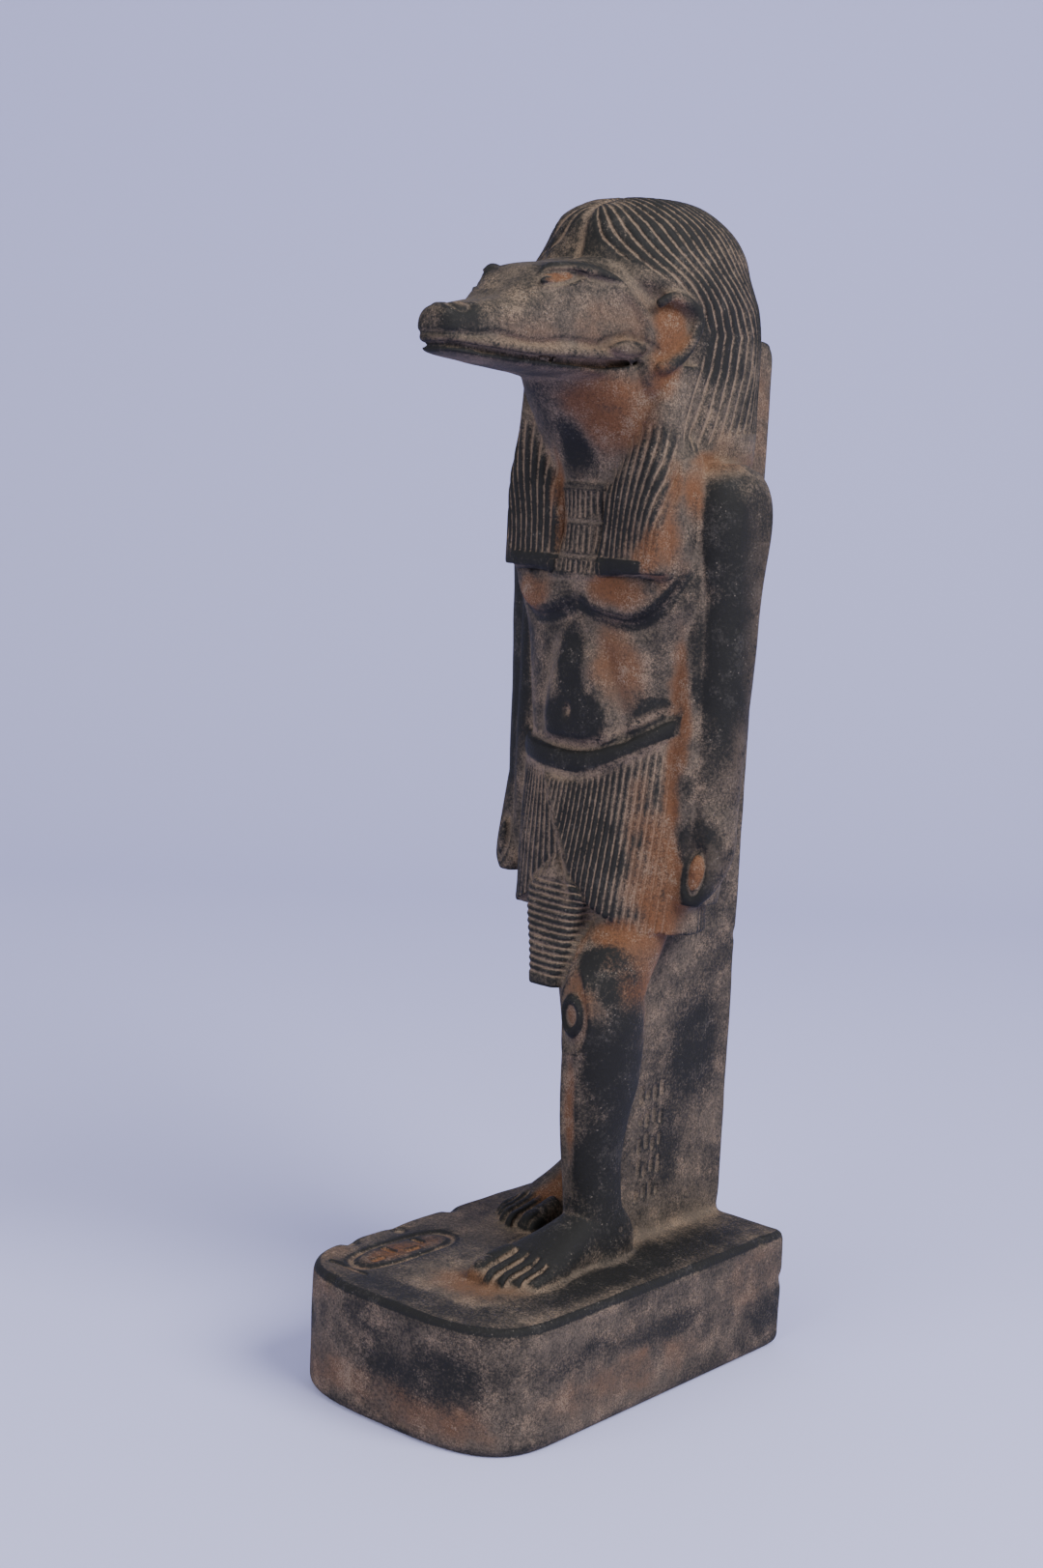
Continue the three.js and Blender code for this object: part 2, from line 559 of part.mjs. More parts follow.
// An oval frame cut into the plinth, with a bar at its front and plain strokes inside
function cartouche() {
  const { x, front, back, half, groove, depth } = CARTOUCHE;
  const low = PLINTH_TOP - depth;
  const high = PLINTH_TOP + 2;
  const middleY = (front + back) / 2;
  const long = (back - front) / 2;
  const outer = limb([[low, x, middleY, half, long, 2.6], [high, x, middleY, half, long, 2.6]], 18, 1);
  const inner = limb([
    [low - 1, x, middleY, half - groove, long - groove, 2.6],
    [high + 1, x, middleY, half - groove, long - groove, 2.6],
  ], 18, 1);
  const cuts = solid(outer).subtract(solid(inner));
  const strokes = [[-2, 8, 4, 1.2], [2, 2, 1.2, 5], [-2, -4, 4.4, 1.2], [1, -11, 1.2, 4]];
  const marks = strokes.map(([dx, dy, wide, deep]) => block(
    [x + dx - wide / 2, middleY + dy - deep / 2, low],
    [x + dx + wide / 2, middleY + dy + deep / 2, high],
  ));
  marks.push(block([x - half, front - 2.2, low], [x + half, front - 0.9, high]));
  return cuts.add(joined(marks));
}

// Plain strokes in two columns on the left face of the slab
function slabWriting() {
  const face = PILLAR_HALF_WIDTH;
  const cuts = [];
  for (let row = 0; row < 5; row += 1) {
    const z = 46 + row * 7;
    const lean = row % 2 === 0 ? 1.5 : 4;
    cuts.push(block([face - WRITING_DEPTH, 22, z], [face + 2, 22 + lean + 2, z + 1.2]));
    cuts.push(block([face - WRITING_DEPTH, 30 - lean, z + 2.5], [face + 2, 31.2 - lean, z + 6]));
  }
  return joined(cuts);
}

function statue() {
  const shapes = [
    plinth(), pillar(), slab(), limb(TORSO, 24, 1, torsoRelief), limb(LEFT_LEG, 14, 1),
    limb(RIGHT_LEG, 12, 1), kilt(0), belt(), tab(), wig(), limb(NECK, 14, 1),
    forward(HEAD, 18, 1), forward(JAW, 12, 1), ...foot(LEFT_FOOT), ...foot(RIGHT_FOOT),
    kneeCap(LEFT_LEG, LEFT_FOOT.side), kneeCap(RIGHT_LEG, RIGHT_FOOT.side),
    ...pair(lappet()), ...pair(limb(ARM, 10, 1)), ...pair(limb(FIST, 8, 1)), ...pair(web()),
    ...pair(ridge(BROW, 6, 1)), ...pair(ridge(LIP, 6, 1)), ...pair(ridge(EAR, 6, 1)),
    ...pair(ball(EYE, 8, 5)), ...pair(ball(NOSTRIL, 6, 4)), ...pair(ball(JAW_BOSS, 7, 5)),
    ...pair(ball(TEMPLE, 8, 6)), ...pair(ball(ROD, 6, 5)), ...pair(ball(SHOULDER_HOLLOW, 7, 5)),
  ];
  return joined(shapes).add(lappedSide()).add(collar())
    .subtract(cartouche()).subtract(slabWriting());
}

function named(name, body, material) {
  const { vertProperties, triVerts } = body.getMesh();
  const geometry = new THREE.BufferGeometry();
  geometry.setAttribute('position', new THREE.BufferAttribute(vertProperties, 3));
  geometry.setIndex(new THREE.BufferAttribute(triVerts, 1));
  geometry.computeVertexNormals();
  const mesh = new THREE.Mesh(geometry, material);
  mesh.name = name;
  return mesh;
}

const group = new THREE.Group();
const figure = named('statue', statue(), STONE);
group.add(figure);

export default group;
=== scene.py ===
# %% [markdown]
# # A carved stone statue of a crocodile-headed man
#
# The real thing is one block of dark stone: a rounded plinth, a back pillar, a filling slab and a striding
# figure. A carver cuts the big masses, then softens the edges between them, then cuts the fine strokes of
# hair and cloth. This script follows the same order, and the colour comes last.

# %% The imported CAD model
import math

import bmesh
import bpy
import numpy as np
from mathutils import Matrix, Vector


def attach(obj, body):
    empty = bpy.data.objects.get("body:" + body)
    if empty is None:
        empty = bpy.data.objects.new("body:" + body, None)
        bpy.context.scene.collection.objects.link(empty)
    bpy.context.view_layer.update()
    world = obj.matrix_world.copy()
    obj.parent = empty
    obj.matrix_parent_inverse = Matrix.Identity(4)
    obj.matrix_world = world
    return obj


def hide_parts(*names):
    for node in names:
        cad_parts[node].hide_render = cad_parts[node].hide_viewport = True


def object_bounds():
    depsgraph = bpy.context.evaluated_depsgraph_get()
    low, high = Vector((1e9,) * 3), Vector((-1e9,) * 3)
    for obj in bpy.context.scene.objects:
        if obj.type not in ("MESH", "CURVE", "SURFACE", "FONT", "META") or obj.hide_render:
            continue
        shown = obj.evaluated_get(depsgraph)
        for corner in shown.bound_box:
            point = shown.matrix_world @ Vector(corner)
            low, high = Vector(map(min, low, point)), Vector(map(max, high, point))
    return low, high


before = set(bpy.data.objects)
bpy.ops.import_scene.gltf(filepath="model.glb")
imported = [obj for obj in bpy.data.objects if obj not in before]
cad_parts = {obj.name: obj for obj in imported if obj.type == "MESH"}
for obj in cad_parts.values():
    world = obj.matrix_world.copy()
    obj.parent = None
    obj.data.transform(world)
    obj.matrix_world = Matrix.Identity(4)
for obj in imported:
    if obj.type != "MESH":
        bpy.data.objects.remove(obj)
cad_box = [list(corner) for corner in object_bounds()]
print("CAD box", cad_box)

# %% [markdown]
# All sizes are millimetres in the CAD model's frame: +Z is up, the figure faces -Y, +X is its left. MM
# turns them into metres. A limb is a list of stations: a height with the section's middle and half sizes. A
# smooth curve through the stations gives every section between them.

# %% Sizes of the block
MM = 0.001
TURN = 2 * math.pi
HEIGHT = 329
PLINTH_HALF_WIDTH = 40
PLINTH_FRONT = -65
PLINTH_BACK = 65
PLINTH_TOP = 35
PLINTH_NOSE = 29
PLINTH_NOSE_POWER = 3.3
PILLAR_HALF_WIDTH = 15
PILLAR_FRONT = 34
PILLAR_TOP = 293.5
SLAB_TOP = 150
SINK = 2
BODY_MIDDLE = 20
SNOUT_TIP = -63.8

# %% Stations of the body
TORSO = [
    (166, 0, 20, 25.5, 18.3, 2.2), (178, 0, 20, 25.6, 18, 2.2), (188, 0, 20, 26.2, 19, 2.2),
    (201, 0, 20, 27.6, 19.2, 2.2), (212, 0, 20, 30, 19.5, 2.2), (219, 0, 20, 32, 20.7, 2.3),
    (228, 0, 20.3, 33, 20.6, 2.3), (238, 0, 21, 33, 20, 2.3), (249, 0, 22, 31.5, 18, 2.3),
    (257, 0, 23, 28, 16.5, 2.3), (264, 0, 24, 24, 16, 2.2),
]
KILT = [
    (126, 1.2, 20, 29.3, 22.3, 2.1), (138, 1, 20, 28.9, 21.9, 2.1), (148, 0.6, 20, 28.6, 21.3, 2.1),
    (160, 0.3, 20, 28, 20.3, 2.1), (172, 0, 20, 27, 19.3, 2.2), (182, 0, 20, 26.8, 19.2, 2.2),
    (196, 0, 20, 27.6, 19.8, 2.2),
]
LEFT_LEG = [
    (34, 14.8, 3.4, 8.6, 10.2, 2.2), (44, 14.6, 3.5, 7.8, 9.2, 2.2), (52, 14, 3.1, 7.6, 8.7, 2.1),
    (62, 13.4, 2.6, 7.8, 9.2, 2.1), (74, 13.4, 2.8, 8.7, 10.5, 2.1), (85, 14, 3.5, 9.8, 12.1, 2.1),
    (96, 14.7, 3.3, 10.2, 12.7, 2.1), (104, 15, 2.6, 10.5, 12.6, 2.1), (112, 14.3, 3, 10.9, 12.4, 2.1),
    (122, 14.3, 7.6, 11.6, 12.4, 2.1), (133, 14.2, 14, 12, 11.8, 2.1), (152, 13.5, 18, 13, 12, 2.1),
]
RIGHT_LEG = [
    (34, -19, 43.7, 8.8, 11.6, 2.2), (44, -19, 44.7, 8, 10, 2.2), (54, -19, 44.7, 7.9, 9.8, 2.1),
    (63, -19, 44.5, 8.6, 10.8, 2.1), (74, -18.8, 43.7, 9.1, 11.2, 2.1), (86, -18.5, 42.7, 9.5, 11.5, 2.1),
    (97, -18, 40.3, 9.8, 11.7, 2.1), (104, -17.3, 38.3, 10.2, 12, 2.1), (113, -16.5, 35.9, 11, 12.6, 2.1),
    (124, -15.8, 32.3, 12.2, 13.2, 2.1), (137, -15, 28.1, 13, 13.8, 2.1), (152, -14.1, 24.3, 13.6, 14, 2.1),
]
ARM = [
    (156, 32.4, 22.6, 6.9, 7.7, 2.1), (165, 31.8, 23.4, 7.3, 8.6, 2.1), (176, 31.8, 23.9, 7.6, 9, 2.1),
    (190, 32.1, 24.2, 7.8, 9.2, 2.1), (205, 32.4, 24.4, 8.1, 9.6, 2.1), (220, 32.3, 24.5, 8.5, 10.2, 2.1),
    (232, 31.8, 24.8, 9.4, 12, 2.1), (243, 31, 25, 10.2, 13.4, 2.2), (250, 30.4, 25, 9.8, 12.8, 2.2),
    (255, 29.8, 25, 8, 10.8, 2.1), (258, 29, 25, 4.6, 6.4, 2),
]
FIST = [
    (137.4, 33, 14.8, 3, 2.2, 2), (141, 33, 16.8, 5.2, 4.6, 2.3), (146, 33, 19.6, 6.4, 6.4, 2.6),
    (152, 33, 21.6, 6.8, 7.2, 2.7), (158, 32.5, 22.4, 7.1, 7.7, 2.4), (165, 32, 23.2, 7.2, 8.3, 2.2),
]
WEB = [
    (136, 27, 24, 6, 7.5, 3), (150, 27, 23, 6.6, 10.2, 3), (200, 27, 23.2, 6.8, 10.7, 3),
    (226, 27, 23.4, 7.4, 11, 3), (240, 27, 25, 9, 11, 3), (254, 25, 26, 8, 9, 3),
]

# %% Stations of the wig and the head
NECK = [
    (226, 0, 10, 12, 10.6, 2), (240, 0, 12, 13.4, 12.6, 2), (250, 0, 12, 15.8, 13.4, 2),
    (257, 0, 12, 18.4, 15.2, 2.1), (263, 0, 11, 20.2, 17.6, 2.2), (269, 0, 9.4, 21, 20.4, 2.2),
    (275, 0, 8, 21, 23.6, 2.3), (282, 0, 6, 20, 26, 2.3),
]
WIG = [
    (247, 0, 30, 24, 16, 3, 3), (254, 0, 28.6, 26.6, 21, 3, 3), (262, 0, 27, 27.9, 24.6, 3, 3),
    (288, 0, 26, 28.2, 26, 3, 3),
    (299, 0, 23.4, 28.2, 28.6, 2.8, 3), (304, 0, 21, 27.8, 31, 2.5, 3), (309, 0, 21, 26.4, 30.7, 2.3, 2.6),
    (314, 0, 22, 24.9, 30.4, 2.1, 2.3), (319.8, 0, 20.9, 22.1, 28.2, 2, 2.1),
    (324.6, 0, 20, 17, 23.2, 2, 2), (327.6, 0, 20, 11.6, 17, 2, 2), (HEIGHT, 0, 20, 3, 11.6, 2, 2),
]
LAPPET = [
    (227.5, 17.6, 2.6, 9.8, 5.8, 3), (234, 17.6, 2.5, 9.8, 5.9, 3), (244, 17.7, 2.7, 9.8, 6, 3),
    (251, 18.2, 3.4, 9.4, 6.4, 3), (257, 19.4, 4.6, 7.8, 6.8, 3), (263, 21, 5.8, 5.8, 7.2, 2.6),
    (272, 22.8, 8, 4, 8, 2.4), (283, 24.6, 11, 2.7, 9, 2.4),
]
HEAD = [
    (16, 0, 294, 21, 15, 2.3), (3, 0, 294.5, 21, 15, 2.5), (-8, 0, 294.8, 19.8, 14.6, 2.9),
    (-17, 0, 294.2, 18, 13.2, 3.4), (-26, 0, 293.6, 16, 12.4, 3.6), (-33, 0, 292.8, 14.2, 11.4, 3.4),
    (-38, 0, 291.3, 12.8, 10, 3), (-43, 0, 289.6, 11.2, 7.8, 2.8), (-48, 0, 289, 9.7, 7, 2.7),
    (-54, 0, 288.5, 8, 6.3, 2.6), (-59, 0, 288.4, 7, 5.8, 2.5), (-62.2, 0, 288.1, 6.1, 5.2, 2.4),
    (SNOUT_TIP, 0, 287.6, 4.4, 3.7, 2.2),
]
JAW = [
    (3, 0, 280, 17.4, 3.6, 2.4), (-10, 0, 280, 16, 3, 2.4), (-22, 0, 280.6, 14.2, 2.4, 2.4),
    (-34, 0, 281, 11.8, 2, 2.4), (-43, 0, 281.2, 9.4, 1.7, 2.3), (-52, 0, 281.6, 7.6, 1.5, 2.2),
    (-60, 0, 282.2, 6, 1.4, 2), (-62.9, 0, 282.6, 4.2, 1.1, 2),
]
BROW = [
    (7.4, -37, 300.2, 0.7), (9.2, -33.5, 302.6, 1.1), (11, -30.5, 304.4, 1.6), (13.4, -25.5, 305.2, 1.7),
    (15.6, -19.5, 304.8, 1.6), (17.4, -14, 303.2, 1.5), (18.6, -9.5, 300.8, 1.2),
]
CHEEK_RIM = [
    (16.8, -15, 301.6, 1.4), (18.4, -10, 299.8, 1.8), (19.6, -5.6, 296.4, 2), (20, -3.2, 291.6, 2),
    (19.6, -3.8, 286.8, 1.8), (18, -7, 283.4, 1.4),
]
LIP = [
    (4.2, -62, 285, 0.9), (6.2, -58, 284.5, 1.2), (7.8, -51, 284.3, 1.3), (10.6, -42, 283.6, 1.4),
    (14, -29, 283.8, 1.5), (16.8, -18, 284.4, 1.6), (18.4, -8, 285, 1.5), (19, -2, 285, 1),
]
EAR = [
    (23.8, -3, 298.2, 1.2), (25.7, 0.2, 300.2, 1.5), (26.7, 5, 299.6, 1.7), (27.3, 9, 297, 1.7),
    (27.4, 9.8, 293.4, 1.7), (27, 7.6, 288.6, 1.5), (26.2, 4.4, 284.8, 1.6), (25, 0.8, 282.2, 1.7),
    (24, -1.4, 281.6, 1.2),
]
BALLS = {
    "eye": ((12, -33, 301.2), (1.3, 4.2, 1.3)),
    "nostril": ((3.5, -58, 293.2), (1.5, 2, 1.1)),
    "jaw boss": ((19, -9.4, 286.4), (2.2, 6.8, 2.3)),
    "temple": ((18.4, 7, 291), (7.6, 11, 14)),
    "jaw angle": ((19.4, 4, 281), (5.4, 8, 8)),
    "rod": ((34.6, 16.4, 147), (2.6, 4, 6)),
    "shoulder hollow": ((24.6, 11, 243), (6.3, 9.6, 22)),
}
LEFT_ONLY = ("jaw angle", "eye")

# %% Belt, hem, overlap, tab, feet
BELT_TOP_FRONT = 177.3
BELT_FOOT_FRONT = 171.4
BELT_RISE_LEFT = 13
BELT_RISE_RIGHT = 3
BELT_PROUD = 1.1
HEM_SIDE = 127.5
HEM_PEAK = 19
HEM_FADE_LEFT = 22
HEM_FADE_RIGHT = 30
OVERLAP = [(-14, 180), (-8, 165), (-4.4, 157.6), (0.2, 149.1), (3.6, 137), (5, 122)]
TAB = [
    (111.4, -1, 1, 6, 8, 4), (118, -1.1, 1, 7, 7.4, 4), (126, -1.6, 1.4, 8.4, 6.7, 4),
    (133, -1.9, 1.8, 9.8, 6.1, 4), (138, -1.9, 2, 9.9, 5.6, 4), (143, -1.7, 2, 5.2, 5.2, 3),
    (147.4, -1.6, 2, 1.2, 4.8, 2),
]
FOOT = [
    (11, 0, 38, 5, 6, 2.1), (7, 0, 40, 7, 9, 2.2), (0, -0.4, 41.5, 7.4, 11.5, 2.2),
    (-8, -1.2, 40, 7.4, 9.6, 2.2), (-16, -2.2, 38.4, 8.5, 7.6, 2.3), (-23, -3, 37.2, 9.6, 6, 2.4),
    (-29, -3.4, 36, 9.8, 4.6, 2.5), (-32, -3.6, 35.5, 9, 3.2, 2.4),
]
TOES = [
    (-9.6, -41.4, 3.7, 4.3), (-4.6, -42.4, 2.4, 3.8), (-0.6, -40.6, 2.2, 3.6), (2.9, -37.6, 2.1, 3.3),
    (5.8, -34.4, 2, 3),
]
TOE_LENGTH = 15
FEET = [(15.8, 4, 1), (-20, 44, -1)]

# %% [markdown]
# `through` is the smooth curve through a list of stations, `section` is a point of a rounded box, and
# `ramp` and `hump` are the soft steps and bumps that all the carving is made of.

# %% Number helpers
def ramp(start, end, value):
    t = np.clip((value - start) / (end - start), 0, 1)
    return t * t * (3 - 2 * t)


def hump(value, middle, width):
    return np.exp(-(((value - middle) / width) ** 2))


def through(stations, places):
    table = np.array(stations, float)
    last = len(table) - 1
    places = np.atleast_1d(np.asarray(places, float))
    i = np.clip(np.floor(places).astype(int), 0, last - 1)
    t = (places - i)[:, None]
    a, b, c, d = (table[np.clip(i + k, 0, last)] for k in (-1, 0, 1, 2))
    start, end, rise = (c - a) / 2, (d - b) / 2, c - b
    return b + t * (start + t * (3 * rise - 2 * start - end + t * (start + end - 2 * rise)))


def along(line, places):
    """Straight steps through a list of (place, value)."""
    return np.interp(places, *np.array(line).T)


def rows_of(stations, steps):
    return through(stations, np.arange((len(stations) - 1) * steps + 1) / steps)


fine_stations = {}


def at_height(stations, heights):
    """Middle, half sizes and squareness of a limb at many heights."""
    if id(stations) not in fine_stations:
        fine = through(stations, np.linspace(0, len(stations) - 1, 240))
        fine_stations[id(stations)] = fine[fine[:, 0].argsort()]
    fine = fine_stations[id(stations)]
    return [np.interp(heights, fine[:, 0], fine[:, k]) for k in range(1, fine.shape[1])]


def section(turn, half_width, half_depth, power, front_power=None):
    c, s = math.cos(turn * TURN), math.sin(turn * TURN)
    n = front_power if front_power and s < 0 else power
    size = (abs(c) ** n + abs(s) ** n) ** (-1 / n)
    return half_width * c * size, half_depth * s * size


def from_front(turn):
    """Degrees from straight ahead, positive to the figure's left."""
    angle = turn * 360 + 90
    return angle - 360 if angle > 180 else angle


def belt_line(front, turn):
    angle = from_front(turn)
    rise = BELT_RISE_LEFT if angle > 0 else BELT_RISE_RIGHT
    return front + rise * math.sin(math.radians(angle)) ** 2


def hem_line(turn):
    angle = from_front(turn)
    fade = HEM_FADE_LEFT if angle > 0 else HEM_FADE_RIGHT
    return HEM_SIDE + HEM_PEAK * math.exp(-abs(angle) / fade)


# %% [markdown]
# Every mass starts as Blender's own closed cone with straight walls. Its upright edges are cut into levels,
# and each point moves to its place on the limb. So each mass stays closed, as the next step needs.

# %% Rough masses from bmesh operators
block = bmesh.new()


def add_to_block(mass):
    carrier = bpy.data.meshes.new("mass")
    mass.to_mesh(carrier)
    mass.free()
    block.from_mesh(carrier)
    bpy.data.meshes.remove(carrier)


def tube(columns, levels, place):
    mass = bmesh.new()
    bmesh.ops.create_cone(mass, cap_ends=True, segments=columns, radius1=1, radius2=1, depth=levels)
    if levels > 1:
        uprights = [e for e in mass.edges if abs(e.verts[0].co.z - e.verts[1].co.z) > 0.5]
        bmesh.ops.subdivide_edges(mass, edges=uprights, cuts=levels - 1)
    for point in mass.verts:
        turn = (math.atan2(point.co.y, point.co.x) / TURN) % 1
        point.co = Vector(place(turn, round(point.co.z + levels / 2))) * MM
    add_to_block(mass)


def limb(stations, columns=48, steps=4, mirror=1):
    rows = rows_of(stations, steps)

    def place(turn, level):
        z, cx, cy, a, b, power, *front = rows[level]
        x, y = section(turn, a, b, power, front[0] if front else None)
        return mirror * (cx + x), cy + y, z

    tube(columns, len(rows) - 1, place)


def forward(stations, columns=40, steps=4, at=(0, 0), side=1):
    rows = rows_of(stations, steps)

    def place(turn, level):
        y, cx, cz, a, b, power = rows[level]
        x, z = section(turn, a, b, power)
        return at[0] + side * (cx + x), at[1] + y, cz + z

    tube(columns, len(rows) - 1, place)


def ridge(line, mirror=1, columns=14, steps=5):
    rows = rows_of(line, steps)
    ways = np.gradient(rows[:, :3], axis=0)

    def place(turn, level):
        way = Vector(ways[level]).normalized()
        across = (Vector((1, 0, 0)) - way * way.x).normalized()
        up = way.cross(across)
        x, y, z, radius = rows[level]
        spot = Vector((x, y, z)) + (across * math.cos(turn * TURN) + up * math.sin(turn * TURN)) * radius
        return mirror * spot.x, spot.y, spot.z

    tube(columns, len(rows) - 1, place)


def ball(middle, half, mirror=1):
    mass = bmesh.new()
    bmesh.ops.create_icosphere(mass, subdivisions=4, radius=1)
    for point in mass.verts:
        spot = [middle[k] + half[k] * point.co[k] for k in range(3)]
        point.co = Vector((mirror * spot[0], spot[1], spot[2])) * MM
    add_to_block(mass)


# %% Plinth, pillar and slab
PLINTH_EDGES = [(0, 1.4), (0.8, 0.5), (2.2, 0), (32.5, 0), (34.2, 0.4), (PLINTH_TOP, 1.3)]
CORNER_POWER = 60


def plinth_place(turn, level):
    z, inset = PLINTH_EDGES[level]
    nose = turn > 0.5
    deep = PLINTH_NOSE if nose else PLINTH_BACK - PLINTH_FRONT - PLINTH_NOSE
    x, y = section(turn, PLINTH_HALF_WIDTH, deep, PLINTH_NOSE_POWER if nose else CORNER_POWER)
    y += PLINTH_FRONT + PLINTH_NOSE
    return x * (1 - inset / PLINTH_HALF_WIDTH), y * (1 - inset / PLINTH_BACK), z


tube(240, len(PLINTH_EDGES) - 1, plinth_place)
pillar_middle = (PILLAR_FRONT + PLINTH_BACK) / 2
pillar_depth = (PLINTH_BACK - PILLAR_FRONT) / 2
limb([
    (PLINTH_TOP - SINK, 0, pillar_middle, PILLAR_HALF_WIDTH, pillar_depth, 24),
    (PILLAR_TOP - 2.5, 0, pillar_middle, PILLAR_HALF_WIDTH, pillar_depth, 24),
    (PILLAR_TOP - 0.8, 0, pillar_middle, PILLAR_HALF_WIDTH - 0.5, pillar_depth - 0.4, 20),
    (PILLAR_TOP, 0, pillar_middle, PILLAR_HALF_WIDTH - 1.8, pillar_depth - 1.4, 14),
], columns=96, steps=1)

SLAB_OUTLINE = [(15, 9), (15, PILLAR_FRONT + SINK), (-15, PILLAR_FRONT + SINK), (-15, 30), (8, 9)]
corners = [block.verts.new(Vector((x, y, PLINTH_TOP - SINK)) * MM) for x, y in SLAB_OUTLINE]
floor_of_slab = block.faces.new(corners)
grown = bmesh.ops.extrude_face_region(block, geom=[floor_of_slab], use_keep_orig=True)["geom"]
lifted = [g for g in grown if isinstance(g, bmesh.types.BMVert)]
bmesh.ops.translate(block, verts=lifted, vec=Vector((0, 0, SLAB_TOP - PLINTH_TOP + SINK)) * MM)
print("plinth, pillar and slab:", len(block.verts), "points")

# %% Body, legs and arms
limb(TORSO, columns=72)
limb(LEFT_LEG)
limb(RIGHT_LEG)
limb(NECK)
for side in (1, -1):
    limb(ARM, mirror=side)
    limb(FIST, mirror=side, columns=32)
    limb(WEB, mirror=side, columns=32)

# %% Kilt, belt and tab
def kilt_point(turn, height, proud):
    cx, cy, a, b, power = at_height(KILT, height)
    x, y = section(turn, a + proud, b + proud, power)
    return cx + x, cy + y, height


KILT_LEVELS = 24


def kilt_place(turn, level):
    rise = level / KILT_LEVELS
    top = belt_line(BELT_FOOT_FRONT, turn) + SINK
    return kilt_point(turn, hem_line(turn) * (1 - rise) + top * rise, 0.3)


def belt_place(turn, level):
    share = (0, 0.08, 0.3, 0.7, 0.92, 1)[level]
    proud = (-2, 0.7, BELT_PROUD, BELT_PROUD, 0.7, -2)[level]
    foot, top = belt_line(BELT_FOOT_FRONT, turn), belt_line(BELT_TOP_FRONT, turn)
    return kilt_point(turn, foot + (top - foot) * share, proud)


tube(120, KILT_LEVELS, kilt_place)
tube(120, 5, belt_place)
limb(TAB, columns=40)

# %% Feet with five toes each
for x, y, side in FEET:
    forward(FOOT, at=(x, y), side=side)
    for toe_x, tip, half, tall in TOES:
        back = tip + TOE_LENGTH
        low = PLINTH_TOP - 1
        forward([
            (back, toe_x * 0.9, low + tall, half * 0.9, tall, 2.2),
            ((back + tip) / 2, toe_x, low + tall * 0.8, half, tall * 0.9, 2.2),
            (back + (tip - back) * 0.82, toe_x, low + tall * 0.66, half, tall * 0.8, 2.2),
            (back + (tip - back) * 0.97, toe_x, low + tall * 0.5, half * 0.7, tall * 0.55, 2),
            (tip, toe_x, low + tall * 0.45, half * 0.3, tall * 0.25, 2),
        ], columns=20, at=(x, y), side=side)

# %% Wig and crocodile head
limb(WIG, columns=96)
forward(HEAD, columns=64)
forward(JAW, columns=48)
for side in (1, -1):
    limb(LAPPET, mirror=side)
    for line in (BROW, CHEEK_RIM, LIP, EAR):
        ridge(line, mirror=side)
    for name, (middle, half) in BALLS.items():
        if side > 0 or name not in LEFT_ONLY:
            ball(middle, half, mirror=side)
print("rough masses:", len(block.verts), "points")

# %% [markdown]
# The masses only overlap so far. A voxel remesh wraps them in one closed skin with even small faces, as if
# the stone had never been parted. Booleans would leave thin slivers at the seams.

# %% One skin over all masses
SKIN_GRAIN = 0.5


def show(name, data):
    thing = bpy.data.objects.new(name, data)
    bpy.context.scene.collection.objects.link(thing)
    return thing


bmesh.ops.recalc_face_normals(block, faces=block.faces[:])
rough_mesh = bpy.data.meshes.new("rough_statue")
block.to_mesh(rough_mesh)
block.free()
statue = show("carved_statue", rough_mesh)


def finish_modifier(piece, kind, **settings):
    """Adds a modifier, sets it and turns its result into the piece's own mesh."""
    modifier = piece.modifiers.new(kind.lower(), kind)
    for name, value in settings.items():
        setattr(modifier, name, value)
    graph = bpy.context.evaluated_depsgraph_get()
    result = bpy.data.meshes.new_from_object(piece.evaluated_get(graph))
    piece.modifiers.clear()
    old = piece.data
    piece.data = result
    bpy.data.meshes.remove(old)


finish_modifier(statue, "REMESH", mode="VOXEL", voxel_size=SKIN_GRAIN * MM)
print("skin:", len(statue.data.vertices), "points")

# %% [markdown]
# The carving moves points of the skin by numbers, because a stroke must follow a curve to a tenth of a
# millimetre. Rubbing with sand is a few rounds in which each point moves towards its neighbours' middle.

# %% Reading, moving and rubbing the skin
count = len(statue.data.vertices)
points = np.empty(count * 3)
statue.data.vertices.foreach_get("co", points)
points = points.reshape(-1, 3) / MM
edges = np.empty(len(statue.data.edges) * 2, np.int64)
statue.data.edges.foreach_get("vertices", edges)
edges = edges.reshape(-1, 2)
ends = np.concatenate([edges[:, 0], edges[:, 1]])
others = np.concatenate([edges[:, 1], edges[:, 0]])
neighbour_count = np.bincount(ends, minlength=count)


def neighbour_mean(values):
    columns = values.reshape(count, -1)
    sums = [np.bincount(ends, weights=columns[others, k], minlength=count) for k in range(columns.shape[1])]
    mean = np.stack(sums, axis=1) / neighbour_count[:, None]
    return mean.reshape(values.shape)


def rub(rounds, strength):
    global points
    for _ in range(rounds):
        points = points + (neighbour_mean(points) - points) * np.reshape(strength, (-1, 1))


def faced():
    """The way each point faces, after the mesh has taken the moved points."""
    statue.data.vertices.foreach_set("co", (points * MM).ravel())
    statue.data.update()
    way = np.empty(count * 3, np.float32)
    statue.data.vertices.foreach_get("normal", way)
    return way.reshape(-1, 3).astype(float)


# %% [markdown]
# Stone rubbed by hand has soft inner corners: feet, slab and pillar grow out of the plinth in a small
# hollow curve. So the whole skin is rubbed a little, and those corners much more.

